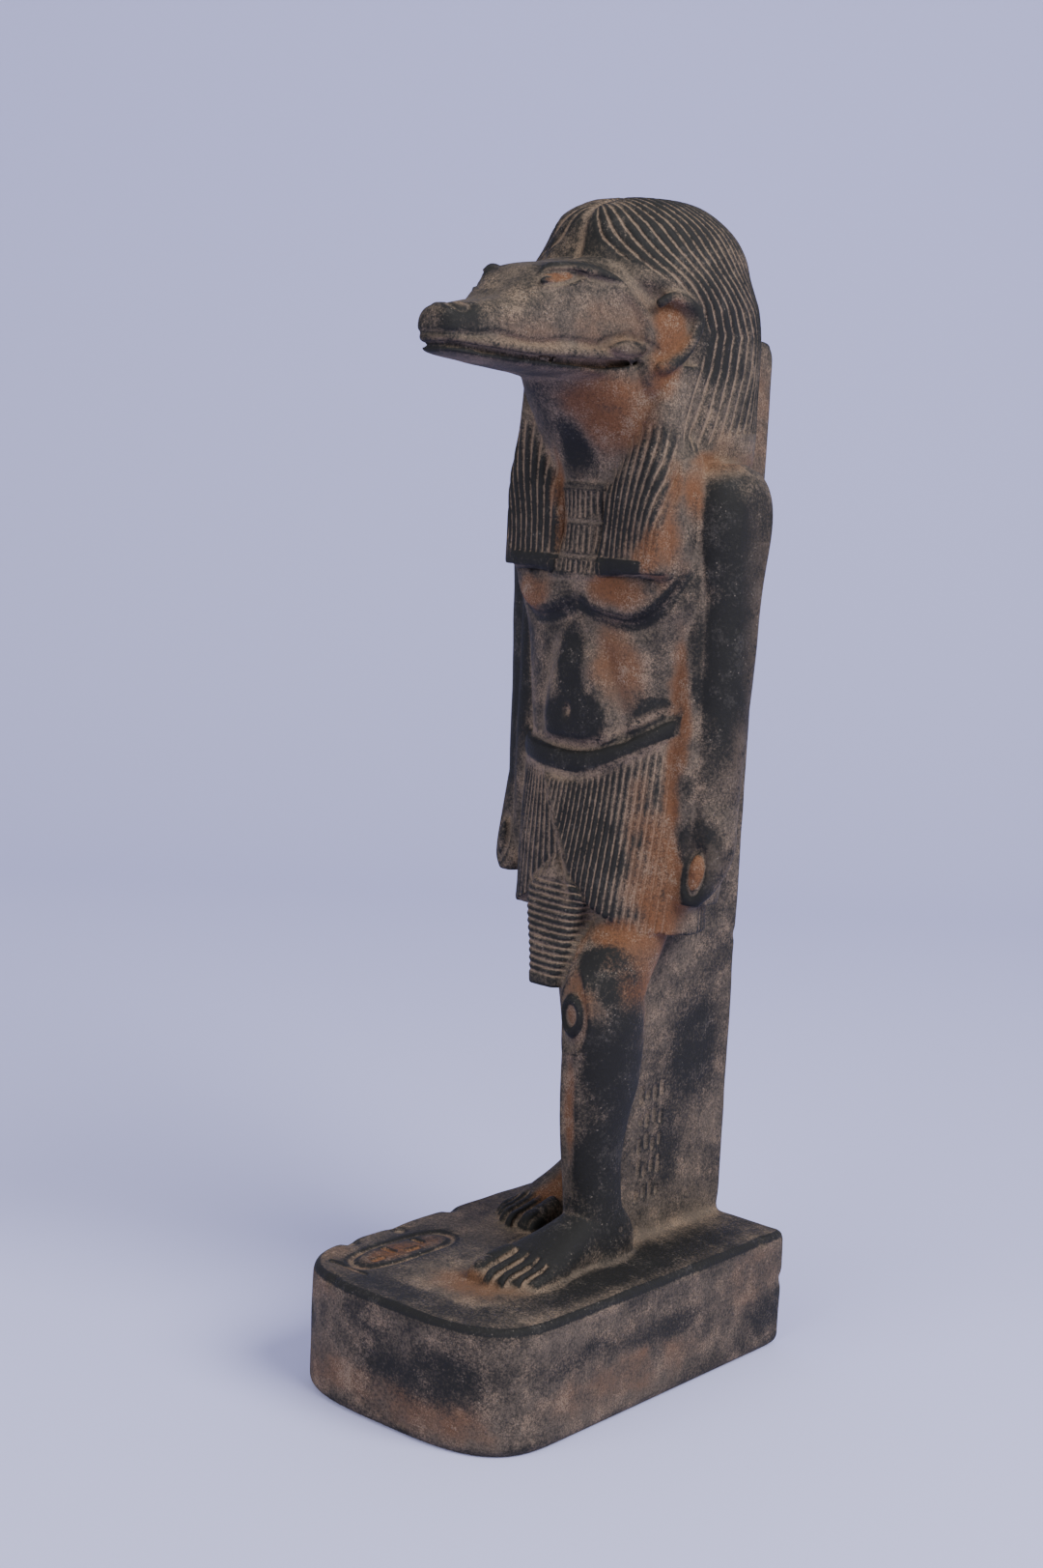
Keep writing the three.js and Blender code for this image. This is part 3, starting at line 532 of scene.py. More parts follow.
# %% Soft corners
x, y, z = points.T
low_block = ramp(PLINTH_TOP + 2, PLINTH_TOP + 0.6, z)
rub(6, 0.5 - 0.3 * low_block)
x, y, z = points.T
at_toes = np.zeros(count)
for foot_x, foot_y, side in FEET:
    at_toes += ramp(-17, -21, y - foot_y) * ramp(-47, -45, y - foot_y) * ramp(15, 13, np.abs(x - foot_x))
foot_corner = hump(z, PLINTH_TOP + 1, 3) * ramp(38, 34, np.abs(x)) * ramp(-60, -52, y) * (1 - at_toes)
around_neck = hump(z, 262, 12) * ramp(14, 6, y) * ramp(26, 20, np.abs(x)) * ramp(300, 284, z)
rub(30, 0.5 * np.maximum(foot_corner, 0.9 * around_neck))
x, y, z = points.T
normals = faced()
print("soft corners:", int((foot_corner > 0.5).sum()), "points at the feet")

# %% [markdown]
# Many strokes belong to one limb only. `off` tells how far a point stands off a limb's surface, so a
# stroke on the kilt leaves the fist beside it alone. From here on x, y and z are the places of all points.

# %% Distance from a limb
def off(stations, mirror=1):
    cx, cy, a, b, power, *_ = at_height(stations, z)
    dx, dy = np.abs(mirror * x - cx) / a, np.abs(y - cy) / b
    size = (dx ** power + dy ** power) ** (1 / power)
    away = np.hypot(mirror * x - cx, y - cy)
    return away * (1 - 1 / np.maximum(size, 1e-6))


def near(distance, reach):
    return ramp(reach, reach * 0.5, np.abs(distance))


def wobble(size, amount):
    """A slow unsteadiness of the carver's hand."""
    waves = np.zeros(count)
    for k, way in enumerate([(1, 0.6, 0.3), (-0.4, 1, 0.7), (0.5, -0.8, 1)]):
        waves += np.sin(points @ way / size * TURN + 1.7 * k)
    return waves * amount / 3


# %% [markdown]
# The chest muscles end in a curved lower line, the belly stands forward between two flank hollows, and the
# navel is a small upright pit. A fold runs above the belt at the hip.

# %% Chest, belly and navel
CHEST_FOOT = 214.7
BELLY = [(178, 11), (186, 11.5), (194, 10), (202, 7.5), (209, 5)]


def chest_line(across):
    away = np.abs(across)
    inner = CHEST_FOOT + 4.8 * ((16 - away) / 16) ** 2
    outer = CHEST_FOOT + 9 * ((away - 16) / 11) ** 2
    return np.where(away < 16, inner, outer)


def segment_distance(p, a, b):
    """Distance from points to the straight stretch between a and b."""
    a, b = np.array(a, float), np.array(b, float)
    way = b - a
    t = np.clip(((p - a) @ way) / (way @ way), 0, 1)
    return np.linalg.norm(p - a - t[:, None] * way, axis=1)


def carve_torso():
    front = ramp(20, 6, y) * near(off(TORSO), 4) * ramp(34, 26, np.abs(x))
    above = z - chest_line(x)
    chest = 1.5 * ramp(-1.2, 2.2, above) * ramp(26, 6, above) * ramp(31, 25, np.abs(x))
    under = -0.8 * hump(above, -3, 2.6)
    middle = -0.7 * hump(x, 0, 2.6) * ramp(-2, 3, above) * ramp(232, 224, z)
    wide = along(BELLY, z)
    belly = 1.9 * ramp(wide + 2.6, wide - 3, np.abs(x)) * ramp(178, 183, z) * ramp(211, 200, z)
    flank = -0.9 * hump(np.abs(x), wide + 3.4, 2) * ramp(179, 184, z) * ramp(211, 204, z)
    navel = -1.3 * hump(x, -1.6, 1) * hump(z, 188.4, 1.7)
    fold = 0.7 * hump(segment_distance(points, (16, 5.6, 185.4), (25, 13.5, 193.5)), 0, 1.5)
    return front * (chest + under + middle + belly + flank + navel + fold)


# %% [markdown]
# Strokes of hair and cloth are all one idea: a running number grows by one from stroke to stroke, and the
# groove is cut where it is whole. The number is kept, so that the stone material can lay pale dust exactly
# into the grooves, sharper than the mesh's faces.

# %% Running numbers of the strokes
stroke = np.zeros(count)
stroked = np.zeros(count)


def lay(numbers, mask):
    """Keeps a running number where its mask is stronger than what is there."""
    wins = mask > stroked
    stroke[wins] = numbers[wins]
    stroked[wins] = mask[wins]


def groove(numbers, pitch, width, depth):
    away = np.abs((numbers + 0.5) % 1 - 0.5) * pitch
    return -depth * hump(away, 0, width)


# %% [markdown]
# The wig's strands leave the parting at a right angle and bend down to the back, like the curves between
# two focal points at its ends. Beside the face they sweep forward into the lappets, which end in a plain
# band on the chest.

# %% Wig strands
PARTING_MIDDLE = 21
PARTING_ACROSS = 1.6
PARTING_HALF = 25
WIG_STRANDS = 33
STRAND_PITCH = 2.7
CROWN_MIDDLE = 300
SWEEP = [
    (0, 0), (12, 0.1), (24, 0.2), (36, 0.3), (48, 0.39), (60, 0.48), (70, 0.58), (80, 0.7), (92, 0.85),
    (106, 0.94), (122, 0.9), (137, 0.8), (152, 0.66), (165, 0.56), (180, 0.5),
]
HAIRLINE = [(262, 0.3), (272, 0.36), (291, 0.44), (301, 0.32), (306, 0.2), (312, 0.08), (330, 0.0)]
STRANDS_END = [
    (226, 15), (231, 15.6), (234, 18), (240, 20.8), (248, 24), (255, 27), (262, 32), (266, 40), (268, 60),
]


def strand_turn():
    """Where a strand starts on the parting: 0 at its front end, pi at its back end."""
    aside = x - PARTING_ACROSS * ramp(296, 312, z)
    ahead = np.hypot(aside, y - PARTING_MIDDLE + PARTING_HALF)
    behind = np.hypot(aside, y - PARTING_MIDDLE - PARTING_HALF)
    turn = np.arccos(np.clip((behind - ahead) / (2 * PARTING_HALF), -1, 1))
    down = np.degrees(np.arctan2(np.abs(aside), z - CROWN_MIDDLE))
    return turn - along(SWEEP, down) * ramp(58, 36, y)


def before_shoulder():
    """1 where the strands show, 0 where they have run out on the shoulder."""
    across = 0.762 * np.abs(x) + 0.647 * y
    end = along(STRANDS_END, z)
    return ramp(end + 1, end - 1.5, across)


def carve_wig():
    start = strand_turn()
    hairline = along(HAIRLINE, z)
    mask = near(off(WIG), 4) * ramp(256, 261, z + 6 * ramp(24, 16, y))
    mask = mask * ramp(hairline, hairline + 0.14, start) * before_shoulder()
    mask = mask * np.where(z < 270, ramp(2, 4, y), 1)
    pillar = ramp(PILLAR_FRONT + 1, PILLAR_FRONT - 2, y) + ramp(PILLAR_TOP, PILLAR_TOP + 2, z)
    mask = mask * np.clip(pillar + ramp(16, 18, np.abs(x)), 0, 1)
    numbers = (math.pi - start) / math.pi * WIG_STRANDS + wobble(40, 0.2)
    lay(numbers, mask)
    parting = -0.9 * hump(x, PARTING_ACROSS, 1.3) * near(off(WIG), 6) * ramp(305, 312, z) * ramp(44, 38, y)
    lobes = -1.2 * hump(x, 0, 7) * ramp(318, 329, z) * ramp(40, 30, y)
    return mask * groove(numbers, STRAND_PITCH, 0.5, 0.45) + parting + lobes


# %% Lappets with their strands and foot bands
LAPPET_PITCH = 1.95
LAPPET_INNER = 7.8
LAPPET_BAND_TOP = 231


def carve_lappets():
    cut = np.zeros(count)
    for mirror in (1, -1):
        across = mirror * x - LAPPET_INNER + 0.6 * np.maximum(y, 0)
        on_lappet = near(off(LAPPET, mirror), 2) * ramp(6, 4, y) * before_shoulder()
        mask = on_lappet * ramp(LAPPET_BAND_TOP, LAPPET_BAND_TOP + 0.6, z) * ramp(270, 264, z)
        numbers = across / LAPPET_PITCH / (1 + 0.45 * ramp(235, 268, z)) + wobble(30, 0.12)
        lay(numbers, mask)
        band = on_lappet * ramp(LAPPET_BAND_TOP + 0.2, LAPPET_BAND_TOP - 0.6, z)
        cut += mask * groove(numbers, LAPPET_PITCH, 0.42, 0.5) + 0.35 * band * ramp(226, 227.5, z)
    return cut


# %% [markdown]
# Between the lappets hangs a collar: three rows of short upright strokes, parted by level lines.

# %% Collar
COLLAR_ROWS = (225.4, 231, 240.5, 250)
COLLAR_PITCH = 1.7


def carve_collar():
    inside = ramp(10.6, 9.4, np.abs(x)) * ramp(8, 2, y) * ramp(COLLAR_ROWS[0] - 1, COLLAR_ROWS[0], z)
    inside = inside * ramp(COLLAR_ROWS[-1] + 1.5, COLLAR_ROWS[-1], z)
    rows = np.zeros(count)
    for low, high in zip(COLLAR_ROWS, COLLAR_ROWS[1:]):
        rows += ramp(low + 0.9, low + 1.4, z) * ramp(high - 0.9, high - 1.4, z)
    numbers = x / COLLAR_PITCH + wobble(12, 0.15)
    lay(numbers, inside * rows)
    lines = sum(hump(z, row, 0.5) for row in COLLAR_ROWS)
    return 0.8 * inside + inside * rows * groove(numbers, COLLAR_PITCH, 0.3, 0.4) - 0.3 * inside * lines


# %% [markdown]
# The kilt's left side lies on top along a slanting edge, so a step is cut there. Pleats fan out from the
# belt, on each side of the edge in their own way, and the tab in front has level pleats.

# %% Kilt pleats and overlap
PLEAT_PITCH = 2.05


def overlap_edge(z):
    table = np.array(OVERLAP)[::-1]
    return np.interp(z, table[:, 1], table[:, 0])


def around(p):
    """Degrees from straight ahead around the body's upright middle."""
    return np.degrees(np.arctan2(p[:, 0], BODY_MIDDLE - p[:, 1]))


def heights_around(line, front=None):
    turns = (around(points) - 90) / 360 % 1
    table = np.linspace(0, 1, 721)
    values = [line(t) if front is None else line(front, t) for t in table]
    return np.interp(turns, table, values)


def carve_kilt():
    hem = heights_around(hem_line)
    belt_foot = heights_around(belt_line, BELT_FOOT_FRONT)
    on_kilt = near(off(KILT), 2) * ramp(hem - 0.5, hem + 0.7, z)
    on_kilt = on_kilt * ramp(belt_foot - 1.5, belt_foot - 3.5, z) * ramp(40, 36, y)
    beside_arm = hump(np.abs(around(points)), 84, 15)
    beside = x - overlap_edge(z)
    front = ramp(16, 8, y)
    left = np.where(y < 14, ramp(0.3, 1.3, beside), (x > 0).astype(float))
    fall = (belt_foot - z) / 45
    left_numbers = (around(points) + 11 * fall) * 0.44 / PLEAT_PITCH + wobble(50, 0.3)
    fan = np.degrees(np.arctan2(x + 15, np.maximum(205 - z, 5)))
    right_numbers = np.where(y < 12, fan / 2.5, around(points) * 0.44 / PLEAT_PITCH) + wobble(50, 0.3)
    numbers = np.where(left > 0.5, left_numbers, right_numbers)
    edge_free = 1 - front * hump(beside, 0.6, 1.7)
    mask = on_kilt * edge_free * (1 - beside_arm)
    lay(numbers, mask)
    lapped = 1.1 * on_kilt * front * ramp(-0.3, 0.5, beside) * ramp(24, 4, beside)
    edge = -0.3 * on_kilt * front * hump(beside, -0.6, 0.7)
    return mask * groove(numbers, PLEAT_PITCH, 0.55, 0.45) + lapped + edge


# %% Tab
TAB_PITCH = 1.95
TAB_FOOT = TAB[0][0]


def carve_tab():
    on_tab = near(off(TAB), 1.8) * ramp(6, 2, y)
    on_tab = on_tab * ramp(TAB_FOOT + 2.6, TAB_FOOT + 3.2, z) * ramp(142, 140.8, z)
    numbers = (z + 0.05 * x) / TAB_PITCH + wobble(25, 0.1)
    lay(numbers, on_tab)
    frame_line = -0.5 * near(off(TAB), 2.4) * hump(off(TAB), 1.8, 0.8) * ramp(8, 3, y) * ramp(148, 145, z)
    return on_tab * groove(numbers, TAB_PITCH, 0.5, 0.5) + frame_line


# %% [markdown]
# The head follows the photo. The mouth line is a cut from the tip to the jaw's hinge, darkened with painted
# shade, with a pale lip band above whose upper edge waves. The brow overhangs an almond eye with two lids.

# %% Mouth, lip band, eye and snout
MOUTH_LINE = [
    (-64, 282.9), (-60, 282.9), (-54, 282.4), (-38, 281.4), (-23, 281.3), (-13, 281.3), (-6, 282.2),
]
LIP_TOP = [
    (-63, 285.6), (-55, 285.6), (-50, 286.6), (-46, 286), (-41, 285), (-35, 285.2), (-29, 286.4),
    (-23, 286), (-18, 285.8), (-14, 287.6), (-9, 289.4), (-3, 288.6),
]


def eye_away():
    """1 along the rim of the almond eye, less inside it."""
    return np.hypot((y + 31.8) / 7.4, (z - 302.3 - 0.17 * (y + 32)) / 1.7)


def boss_away():
    return np.hypot((y + 9.8) / 7, (z - 286.4) / 2.3)


def line_away(line, mirror, behind=0):
    """Distance from points to a ridge line on the left, or on the right with mirror -1."""
    spots = through(line, np.linspace(0, len(line) - 1, 60))[:, :3] + (0, behind, 0)
    own = points * (mirror, 1, 1)
    away = np.full(count, 99.0)
    close = np.where(np.linalg.norm(own - spots.mean(axis=0), axis=1) < 20)[0]
    for spot in spots:
        away[close] = np.minimum(away[close], np.linalg.norm(own[close] - spot, axis=1))
    return away


def mouth_lines():
    """Where the mouth is, the height of its cut, and the height of the lip band's upper edge."""
    return ramp(-3, -9, y) * ramp(262, 270, z), along(MOUTH_LINE, y), along(LIP_TOP, y)


def facing_sideways():
    return ramp(0.3, 0.65, np.abs(normals[:, 0]))


def carve_head():
    sideways = facing_sideways()
    side, line, top = mouth_lines()
    mouth = -1.3 * hump(z, line + 0.3, 0.6) * ramp(-4, -9, y)
    lip = -0.55 * hump(z, top + 0.5, 0.7) * ramp(0, -4, y) + 0.2 * hump(z, (top + line) / 2, 1.6)
    away = eye_away()
    at_eye = ramp(5, 8, np.abs(x)) * ramp(10, 0, np.abs(z - 302)) * sideways
    lids = at_eye * (0.45 * hump(away, 1.3, 0.22) - 0.55 * hump(away, 1, 0.15))
    tail = segment_distance(points * [0, 1, 1], (0, -25, 303.6), (0, -12.5, 302.2))
    tail_cut = -0.5 * hump(tail, 0, 0.6) * ramp(8, 12, np.abs(x)) * ramp(4, 0, np.abs(z - 303))
    plane = -0.5 * hump(x, 0, 3.4) * ramp(-30, -40, y) * ramp(-60, -54, y) * ramp(290, 294, z)
    crease = -0.5 * hump(segment_distance(np.abs(points), (5, 44, 297), (7.6, 34, 303)), 0, 1.2)
    nostril = -0.5 * hump(np.hypot(np.abs(x) - 3.4, y + 58.2), 2.9, 0.6) * ramp(290, 292, z)
    cheek_middle = segment_distance(np.abs(points), (19.5, 12, 294), (17, 22, 297))
    cheek = -0.8 * hump(cheek_middle, 0, 5) * ramp(-4, -8, y)
    boss = 0.5 * ramp(1, 0.6, boss_away()) - 0.5 * hump(boss_away(), 1.15, 0.2)
    ears = sum(hump(line_away(EAR, m), 0, 1.5) - 0.8 * hump(line_away(EAR, m, 2.6), 0, 1) for m in (1, -1))
    ears = ears * (0.35 + 0.65 * ramp(300, 296, z))
    forehead = 1.1 * ramp(-37, -31, y) * ramp(2, -6, y) * ramp(13, 9, np.abs(x)) * ramp(300, 302, z)
    shapes = side * (mouth + lip) + forehead + lids + (tail_cut + crease * ramp(-30, -34, y)) * sideways
    return shapes + plane + nostril + cheek + boss * sideways * ramp(12, 16, np.abs(x)) + 0.9 * ears


# %% [markdown]
# Small signs of the limbs: a rod's end in the fist, a ring in a drop-shaped hollow for the knee cap, a
# shin edge, gaps and nails on the toes.

# %% Rod, knee, shin and nails
KNEE = (12.9, 106)
ROD = (35, 147)
TOE_GAPS = (-13, -6.4, -2.5, 1.2, 4.4, 9)
TOE_GAP_DEPTH = 1.1


def rod_end(mirror):
    """1 along the rim of the rod's end in a fist."""
    return np.hypot((mirror * x - ROD[0]) / 1.9, (z - ROD[1]) / 4.8)


def knee_ring():
    return np.hypot((x - KNEE[0]) / 3.5, (z - KNEE[1]) / 4.8)


def carve_limbs():
    fist = np.zeros(count)
    for mirror in (1, -1):
        fist += -0.8 * hump(rod_end(mirror), 1.3, 0.25) * near(off(FIST, mirror), 4) * ramp(19, 16, y)
    leg = ramp(4, -2, y) * ramp(2.5, 4.5, x)
    dx, dz = x - KNEE[0], z - KNEE[1]
    drop = np.hypot(dx / (5.6 - 0.16 * np.clip(dz, -8, 12)), (dz - 0.5) / 10.5)
    knee = -0.8 * ramp(1.1, 0.85, drop) + 1.4 * hump(knee_ring(), 0.95, 0.3) + 0.25 * hump(drop, 1.15, 0.15)
    shin = hump(z, 78, 16) * (0.5 * hump(x, 9.4, 1) - 0.7 * hump(x, 12.4, 1.7) + 0.3 * hump(x, 15.4, 1.2))
    return fist + leg * (knee + shin)


def carve_nails():
    cut = np.zeros(count)
    for foot_x, foot_y, side in FEET:
        for toe_x, tip, half, tall in TOES:
            dx = (x - foot_x - side * toe_x) / (half * 0.72)
            dy = (y - foot_y - tip - 3.4) / (2.6 if half < 3 else 3.4)
            nail = np.hypot(dx, dy)
            cut -= (0.35 if half > 3 else 0.12) * hump(nail, 1, 0.24) * ramp(36.5, 37.5, z) * ramp(46, 44, z)
        across = side * (x - foot_x)
        numbers = np.interp(across, TOE_GAPS, np.arange(len(TOE_GAPS)))
        on_toes = ramp(-25.5, -28, y - foot_y) * ramp(-47, -46, y - foot_y) * ramp(35.4, 36.2, z)
        on_toes = on_toes * ramp(46, 44, z) * ramp(-10.5, -9, across) * ramp(8.6, 7, across)
        lay(numbers, on_toes)
        for gap_x in TOE_GAPS[1:-1]:
            cut -= TOE_GAP_DEPTH * on_toes * hump(across - gap_x, 0, 0.6)
    return cut


# %% [markdown]
# On the plinth lies an oval frame with a bar at its front end, and on the slab's left side are rows of
# small marks. They stand for writing, so they are plain strokes that spell nothing.

# %% Frame on the plinth and strokes on the slab
OVAL_X, OVAL_FRONT, OVAL_BACK, OVAL_HALF = -24, -53, -13, 7
FRAME_STROKES = [(-2, 8, 4, 1.2), (2, 2, 1.2, 5), (-2, -4, 4.4, 1.2), (1, -11, 1.2, 4)]


def box_dip(values, low, high, edge):
    return ramp(low - edge, low + edge, values) * ramp(high + edge, high - edge, values)


def slab_marks():
    """Rows of short upright strokes on the slab's left side."""
    marks = np.zeros(count)
    for row in range(5):
        low = 46 + row * 7.4
        for k, at in enumerate((22.4, 25.6, 28.8, 32)):
            marks += hump(y, at, 0.6) * box_dip(z, low + (row + k) % 2, low + 3.4 + (2 * row + k) % 3, 0.4)
    return np.minimum(marks, 1) * ramp(14, 14.6, x) * ramp(16.5, 15.5, x) * ramp(19, 21, y)


def carve_signs():
    on_top = ramp(PLINTH_TOP - 1.4, PLINTH_TOP - 0.6, z) * ramp(PLINTH_TOP + 1.5, PLINTH_TOP + 0.5, z)
    middle = (OVAL_FRONT + OVAL_BACK) / 2
    long = (OVAL_BACK - OVAL_FRONT) / 2
    dx, dy = np.abs(x - OVAL_X) / OVAL_HALF, np.abs(y - middle) / long
    ring = (dx ** 2.6 + dy ** 2.6) ** (1 / 2.6)
    cut = -0.9 * hump(ring, 0.93, 0.09)
    cut -= 0.7 * box_dip(x, OVAL_X - OVAL_HALF, OVAL_X + OVAL_HALF, 0.4) * hump(y, OVAL_FRONT - 1.6, 0.7)
    for sx, sy, wide, deep in FRAME_STROKES:
        at_x, at_y = OVAL_X + sx, middle + sy
        across = box_dip(x, at_x - wide / 2 - 0.3, at_x + wide / 2 + 0.3, 0.4)
        cut -= 0.8 * across * box_dip(y, at_y - deep / 2 - 0.3, at_y + deep / 2 + 0.3, 0.4)
    return on_top * cut - 0.9 * slab_marks()


# %% [markdown]
# Old stone is never exact: slow waves make the flats uneven, and the plinth's edges have chips. The
# underside stays flat, so that the statue stands.

# %% Unevenness and chips
CHIPS = [
    (-38, -40, 35, 3), (-36, -22, 35.5, 2.6), (-39, 2, 35, 2.4), (-22, -63, 34.5, 2), (8, -66, 3, 2.2),
    (40, 20, 35, 1.8), (40, 52, 34.5, 2.2), (39.5, 63, 20, 1.8), (41, -24, 12, 1.6), (16, 65, 292, 2.2),
    (-3, -67, 18, 1.6), (26, -62, 12, 1.3), (-31, -60, 22, 1.4), (20, 2, 47, 1.1), (22.6, 6, 44, 1.1),
    (41, 22, 236, 1.2), (41.5, 26, 226, 1), (40, 20, 214, 0.9), (33, 30, 256, 1.2), (15.4, 64, 120, 1.6),
]


def carve_age():
    uneven = wobble(31, 0.16) + wobble(13, 0.07)
    chips = np.zeros(count)
    for cx, cy, cz, reach in CHIPS:
        away = np.linalg.norm(points - (cx, cy, cz), axis=1)
        chips -= 0.45 * reach * hump(away, 0, reach)
    return (uneven + chips) * ramp(0.3, 3, z)


# %% Cutting all strokes
carvings = [
    carve_torso, carve_wig, carve_lappets, carve_collar, carve_kilt, carve_tab, carve_head, carve_limbs,
    carve_nails, carve_signs, carve_age,
]
depth_of_cut = np.zeros(count)
for carving in carvings:
    cut = carving()
    depth_of_cut += cut
    print(carving.__name__, "deepest", round(float(cut.min()), 2), "highest", round(float(cut.max()), 2))
points = points + normals * depth_of_cut[:, None]
rub(1, 0.3)
low, high = (np.array(corner) / MM for corner in cad_box)
points = np.clip(points, low, high)
x, y, z = points.T
normals = faced()

# %% [markdown]
# Hands rub the high places dark, and dust stays in the low ones. How much a point stands above its
# neighbours tells which it is: a fine measure finds strokes and edges, a coarse one finds hollows.

# %% High and low places
def standing(rounds):
    spread = points
    for _ in range(rounds):
        spread = neighbour_mean(spread)
    return ((points - spread) * normals).sum(axis=1)


fine = standing(4)
coarse = standing(60)
print("standing proud, fine:", np.round(np.percentile(fine, (2, 50, 98)), 3))
print("standing proud, coarse:", np.round(np.percentile(coarse, (2, 50, 98)), 3))

# %% [markdown]
# The brown wash lies where the maker left it: in the throat, beside the arms, below the hem, round the toes.
# The raised parts were rubbed nearly black. The mouth cut, the grooves at the ears and round the jaw bosses
# and the underside of the chest are painted dark as shade. Each row is a place's middle, its reach along x,
# y and z, and how strong it is. The stone material breaks the borders up with noise.

# %% Where the wash stayed, where the stone is dark, and where shade is painted
ORANGE = [
    (13, -6, 272, 11, 18, 11, 0.9), (25, 2, 291, 5, 6, 8, 0.9), (24, 0, 281, 5, 6, 7, 0.9),
    (3.4, -57, 293.4, 1.1, 1.4, 1.2, 1.3), (14, 0, 221, 9, 8, 5, 0.9), (-16, 0, 221, 8, 8, 5, 0.8),
    (25, 6, 240, 3.5, 7, 17, 0.95), (-8.5, -2, 245, 2.4, 6, 14, 0.8), (31, 18, 257, 9, 9, 3.4, 0.8),
    (25, 2, 234, 4, 8, 9, 0.9), (28, 13, 249, 4, 8, 8, 0.9), (22, 4, 152, 5, 8, 20, 0.6),
    (24, 32, 257, 12, 16, 7, 0.5), (27, 9, 142, 7, 10, 20, 0.9), (23, 6, 121, 9, 12, 10, 0.75),
    (10, -4, 128, 2.5, 6, 9, 0.8), (14, -9, 108, 6, 6, 11, 0.7), (13, -7, 80, 2.2, 8, 15, 0.7),
    (10, -38, 35, 16, 10, 3, 0.6), (-24, -33, 34, 5, 17, 3, 0.9), (-14, 24, 42, 5, 10, 6, 0.9),
    (14, 2, 200, 9, 9, 11, 0.6), (15, 55, 268, 8, 14, 26, 0.4), (27, 14, 180, 3, 5, 36, 0.85),
    (20, 14, 104, 8, 10, 14, 0.5), (0, -64, 8, 60, 8, 7, 0.45), (41, -10, 12, 4, 40, 7, 0.45),
    (41, 45, 24, 4, 22, 10, 0.4), (0, 52, 318, 26, 20, 12, 0.4), (-30, -52, 30, 16, 16, 6, 0.35),
    (17, -14, 291, 8, 14, 8, 0.4), (12, -40, 288, 6, 14, 5, 0.35), (18, -2, 236, 5, 5, 10, 0.45),
    (0, 0, 257, 3, 12, 6, 0.4), (19, 1, 129, 8, 8, 4, 0.9), (25, 4, 116, 4, 8, 9, 0.8),
]
DARK = [
    (35, 22, 238, 9, 14, 16, 1), (37, 26, 206, 9, 13, 34, 1), (-34, 22, 205, 10, 14, 48, 0.9),
    (14, -4, 240, 7, 5, 13, 0.5), (-18, -4, 242, 9, 6, 17, 0.85), (-0.5, -2, 186.5, 8, 8, 7.5, 1),
    (-1.5, -1, 199, 4, 8, 12, 0.9), (21.5, 8, 190.5, 7, 7, 3.6, 1), (8, -2, 152, 8, 8, 18, 0.75),
    (35, 17, 152, 6, 8, 9, 0.9), (22, 0, 96, 7, 11, 18, 0.85), (20, 4, 62, 8, 12, 26, 0.9),
    (14, -18, 44, 12, 18, 9, 0.8), (4, -57, 290, 5, 9, 5, 0.5), (12, -26, 306, 7, 16, 2.6, 0.55),
    (-12, -30, 306, 8, 12, 4, 0.5), (18, 8, 318, 14, 16, 12, 0.6), (27, 20, 296, 6, 10, 18, 0.5),
    (0, -12, 257, 6, 12, 9, 0.8), (12, -64, 18, 26, 9, 9, 0.55), (-34, -50, 18, 12, 16, 7, 0.4),
    (15, 46, 88, 6, 13, 18, 0.6), (15, 36, 62, 6, 7, 14, 0.5), (41, -6, 21, 4, 46, 4.5, 0.5),
    (-24, -34, 35, 13, 26, 2.5, 0.5), (28, 6, 35, 9, 56, 2.5, 0.6), (0, -57, 35, 30, 7, 2.5, 0.5),
    (-14, 12, 52, 10, 20, 14, 0.4), (20, -2, 118.5, 6, 8, 8.5, 1), (41, 56, 12, 4, 14, 8, 0.5),
]
PALE_SPOTS = [
    (42, 31, 216, 4, 6, 30, 0.38), (40, 26, 176, 5, 8, 10, 0.4), (36, 22, 150, 6, 9, 8, 0.3),
    (3.4, -57.2, 293.8, 1.5, 1.9, 1.4, 1.3), (33, 17, 256, 9, 8, 2.6, 0.6),
]
BIG_PLACE = 8


def places(table):
    """The tables' places with uneven borders, more uneven on the bigger ones."""
    stray = np.stack([wobble(size, 3.2) + wobble(size * 0.37, 2) for size in (37, 29, 43)], axis=1)
    total = np.zeros(count)
    for *place, amount in table:
        middle, reach = place[:3], place[3:]
        away = np.linalg.norm((points + stray * min(1, min(reach) / BIG_PLACE) - middle) / reach, axis=1)
        total = np.maximum(total, amount * ramp(1.6, 0.5, away))
    return total


# Painted shade: a dark band along the groove under the chest's lower edge, where the chest overhangs.
chest_painted_shade = hump(z - chest_line(x), -1.5, 2.2) * ramp(14, 8, y) * near(off(TORSO), 4)
above_foot = z - heights_around(belt_line, BELT_FOOT_FRONT)
above_top = z - heights_around(belt_line, BELT_TOP_FRONT)
at_kilt = near(off(KILT), 3)
on_belt = at_kilt * ramp(-0.3, 0.4, above_foot) * ramp(0.3, -0.4, above_top)
above_belt = at_kilt * ramp(0, 0.8, above_top) * ramp(3.4, 1.8, above_top)
below_belt = at_kilt * ramp(0, -0.5, above_foot) * ramp(-4, -2, above_foot)
bands = sum(near(off(LAPPET, m), 2.5) for m in (1, -1)) * before_shoulder()
bands = bands * ramp(231.4, 230.8, z) * ramp(226, 227.6, z)
rim = ramp(PLINTH_TOP - 2.6, PLINTH_TOP - 1.2, z) * ramp(PLINTH_TOP + 0.3, PLINTH_TOP, z)
rim = rim * ramp(0.985, 0.93, normals[:, 2])
knee_front = ramp(4, -2, y) * ramp(2.5, 4.5, x)
ring_dark = hump(knee_ring(), 0.95, 0.4) * knee_front
fist_front = ramp(20, 16, y) * near(off(FIST), 3)
arch = hump(rod_end(1), 1.75, 0.55) * fist_front
rod_brown = ramp(1.15, 0.9, rod_end(1)) * fist_front
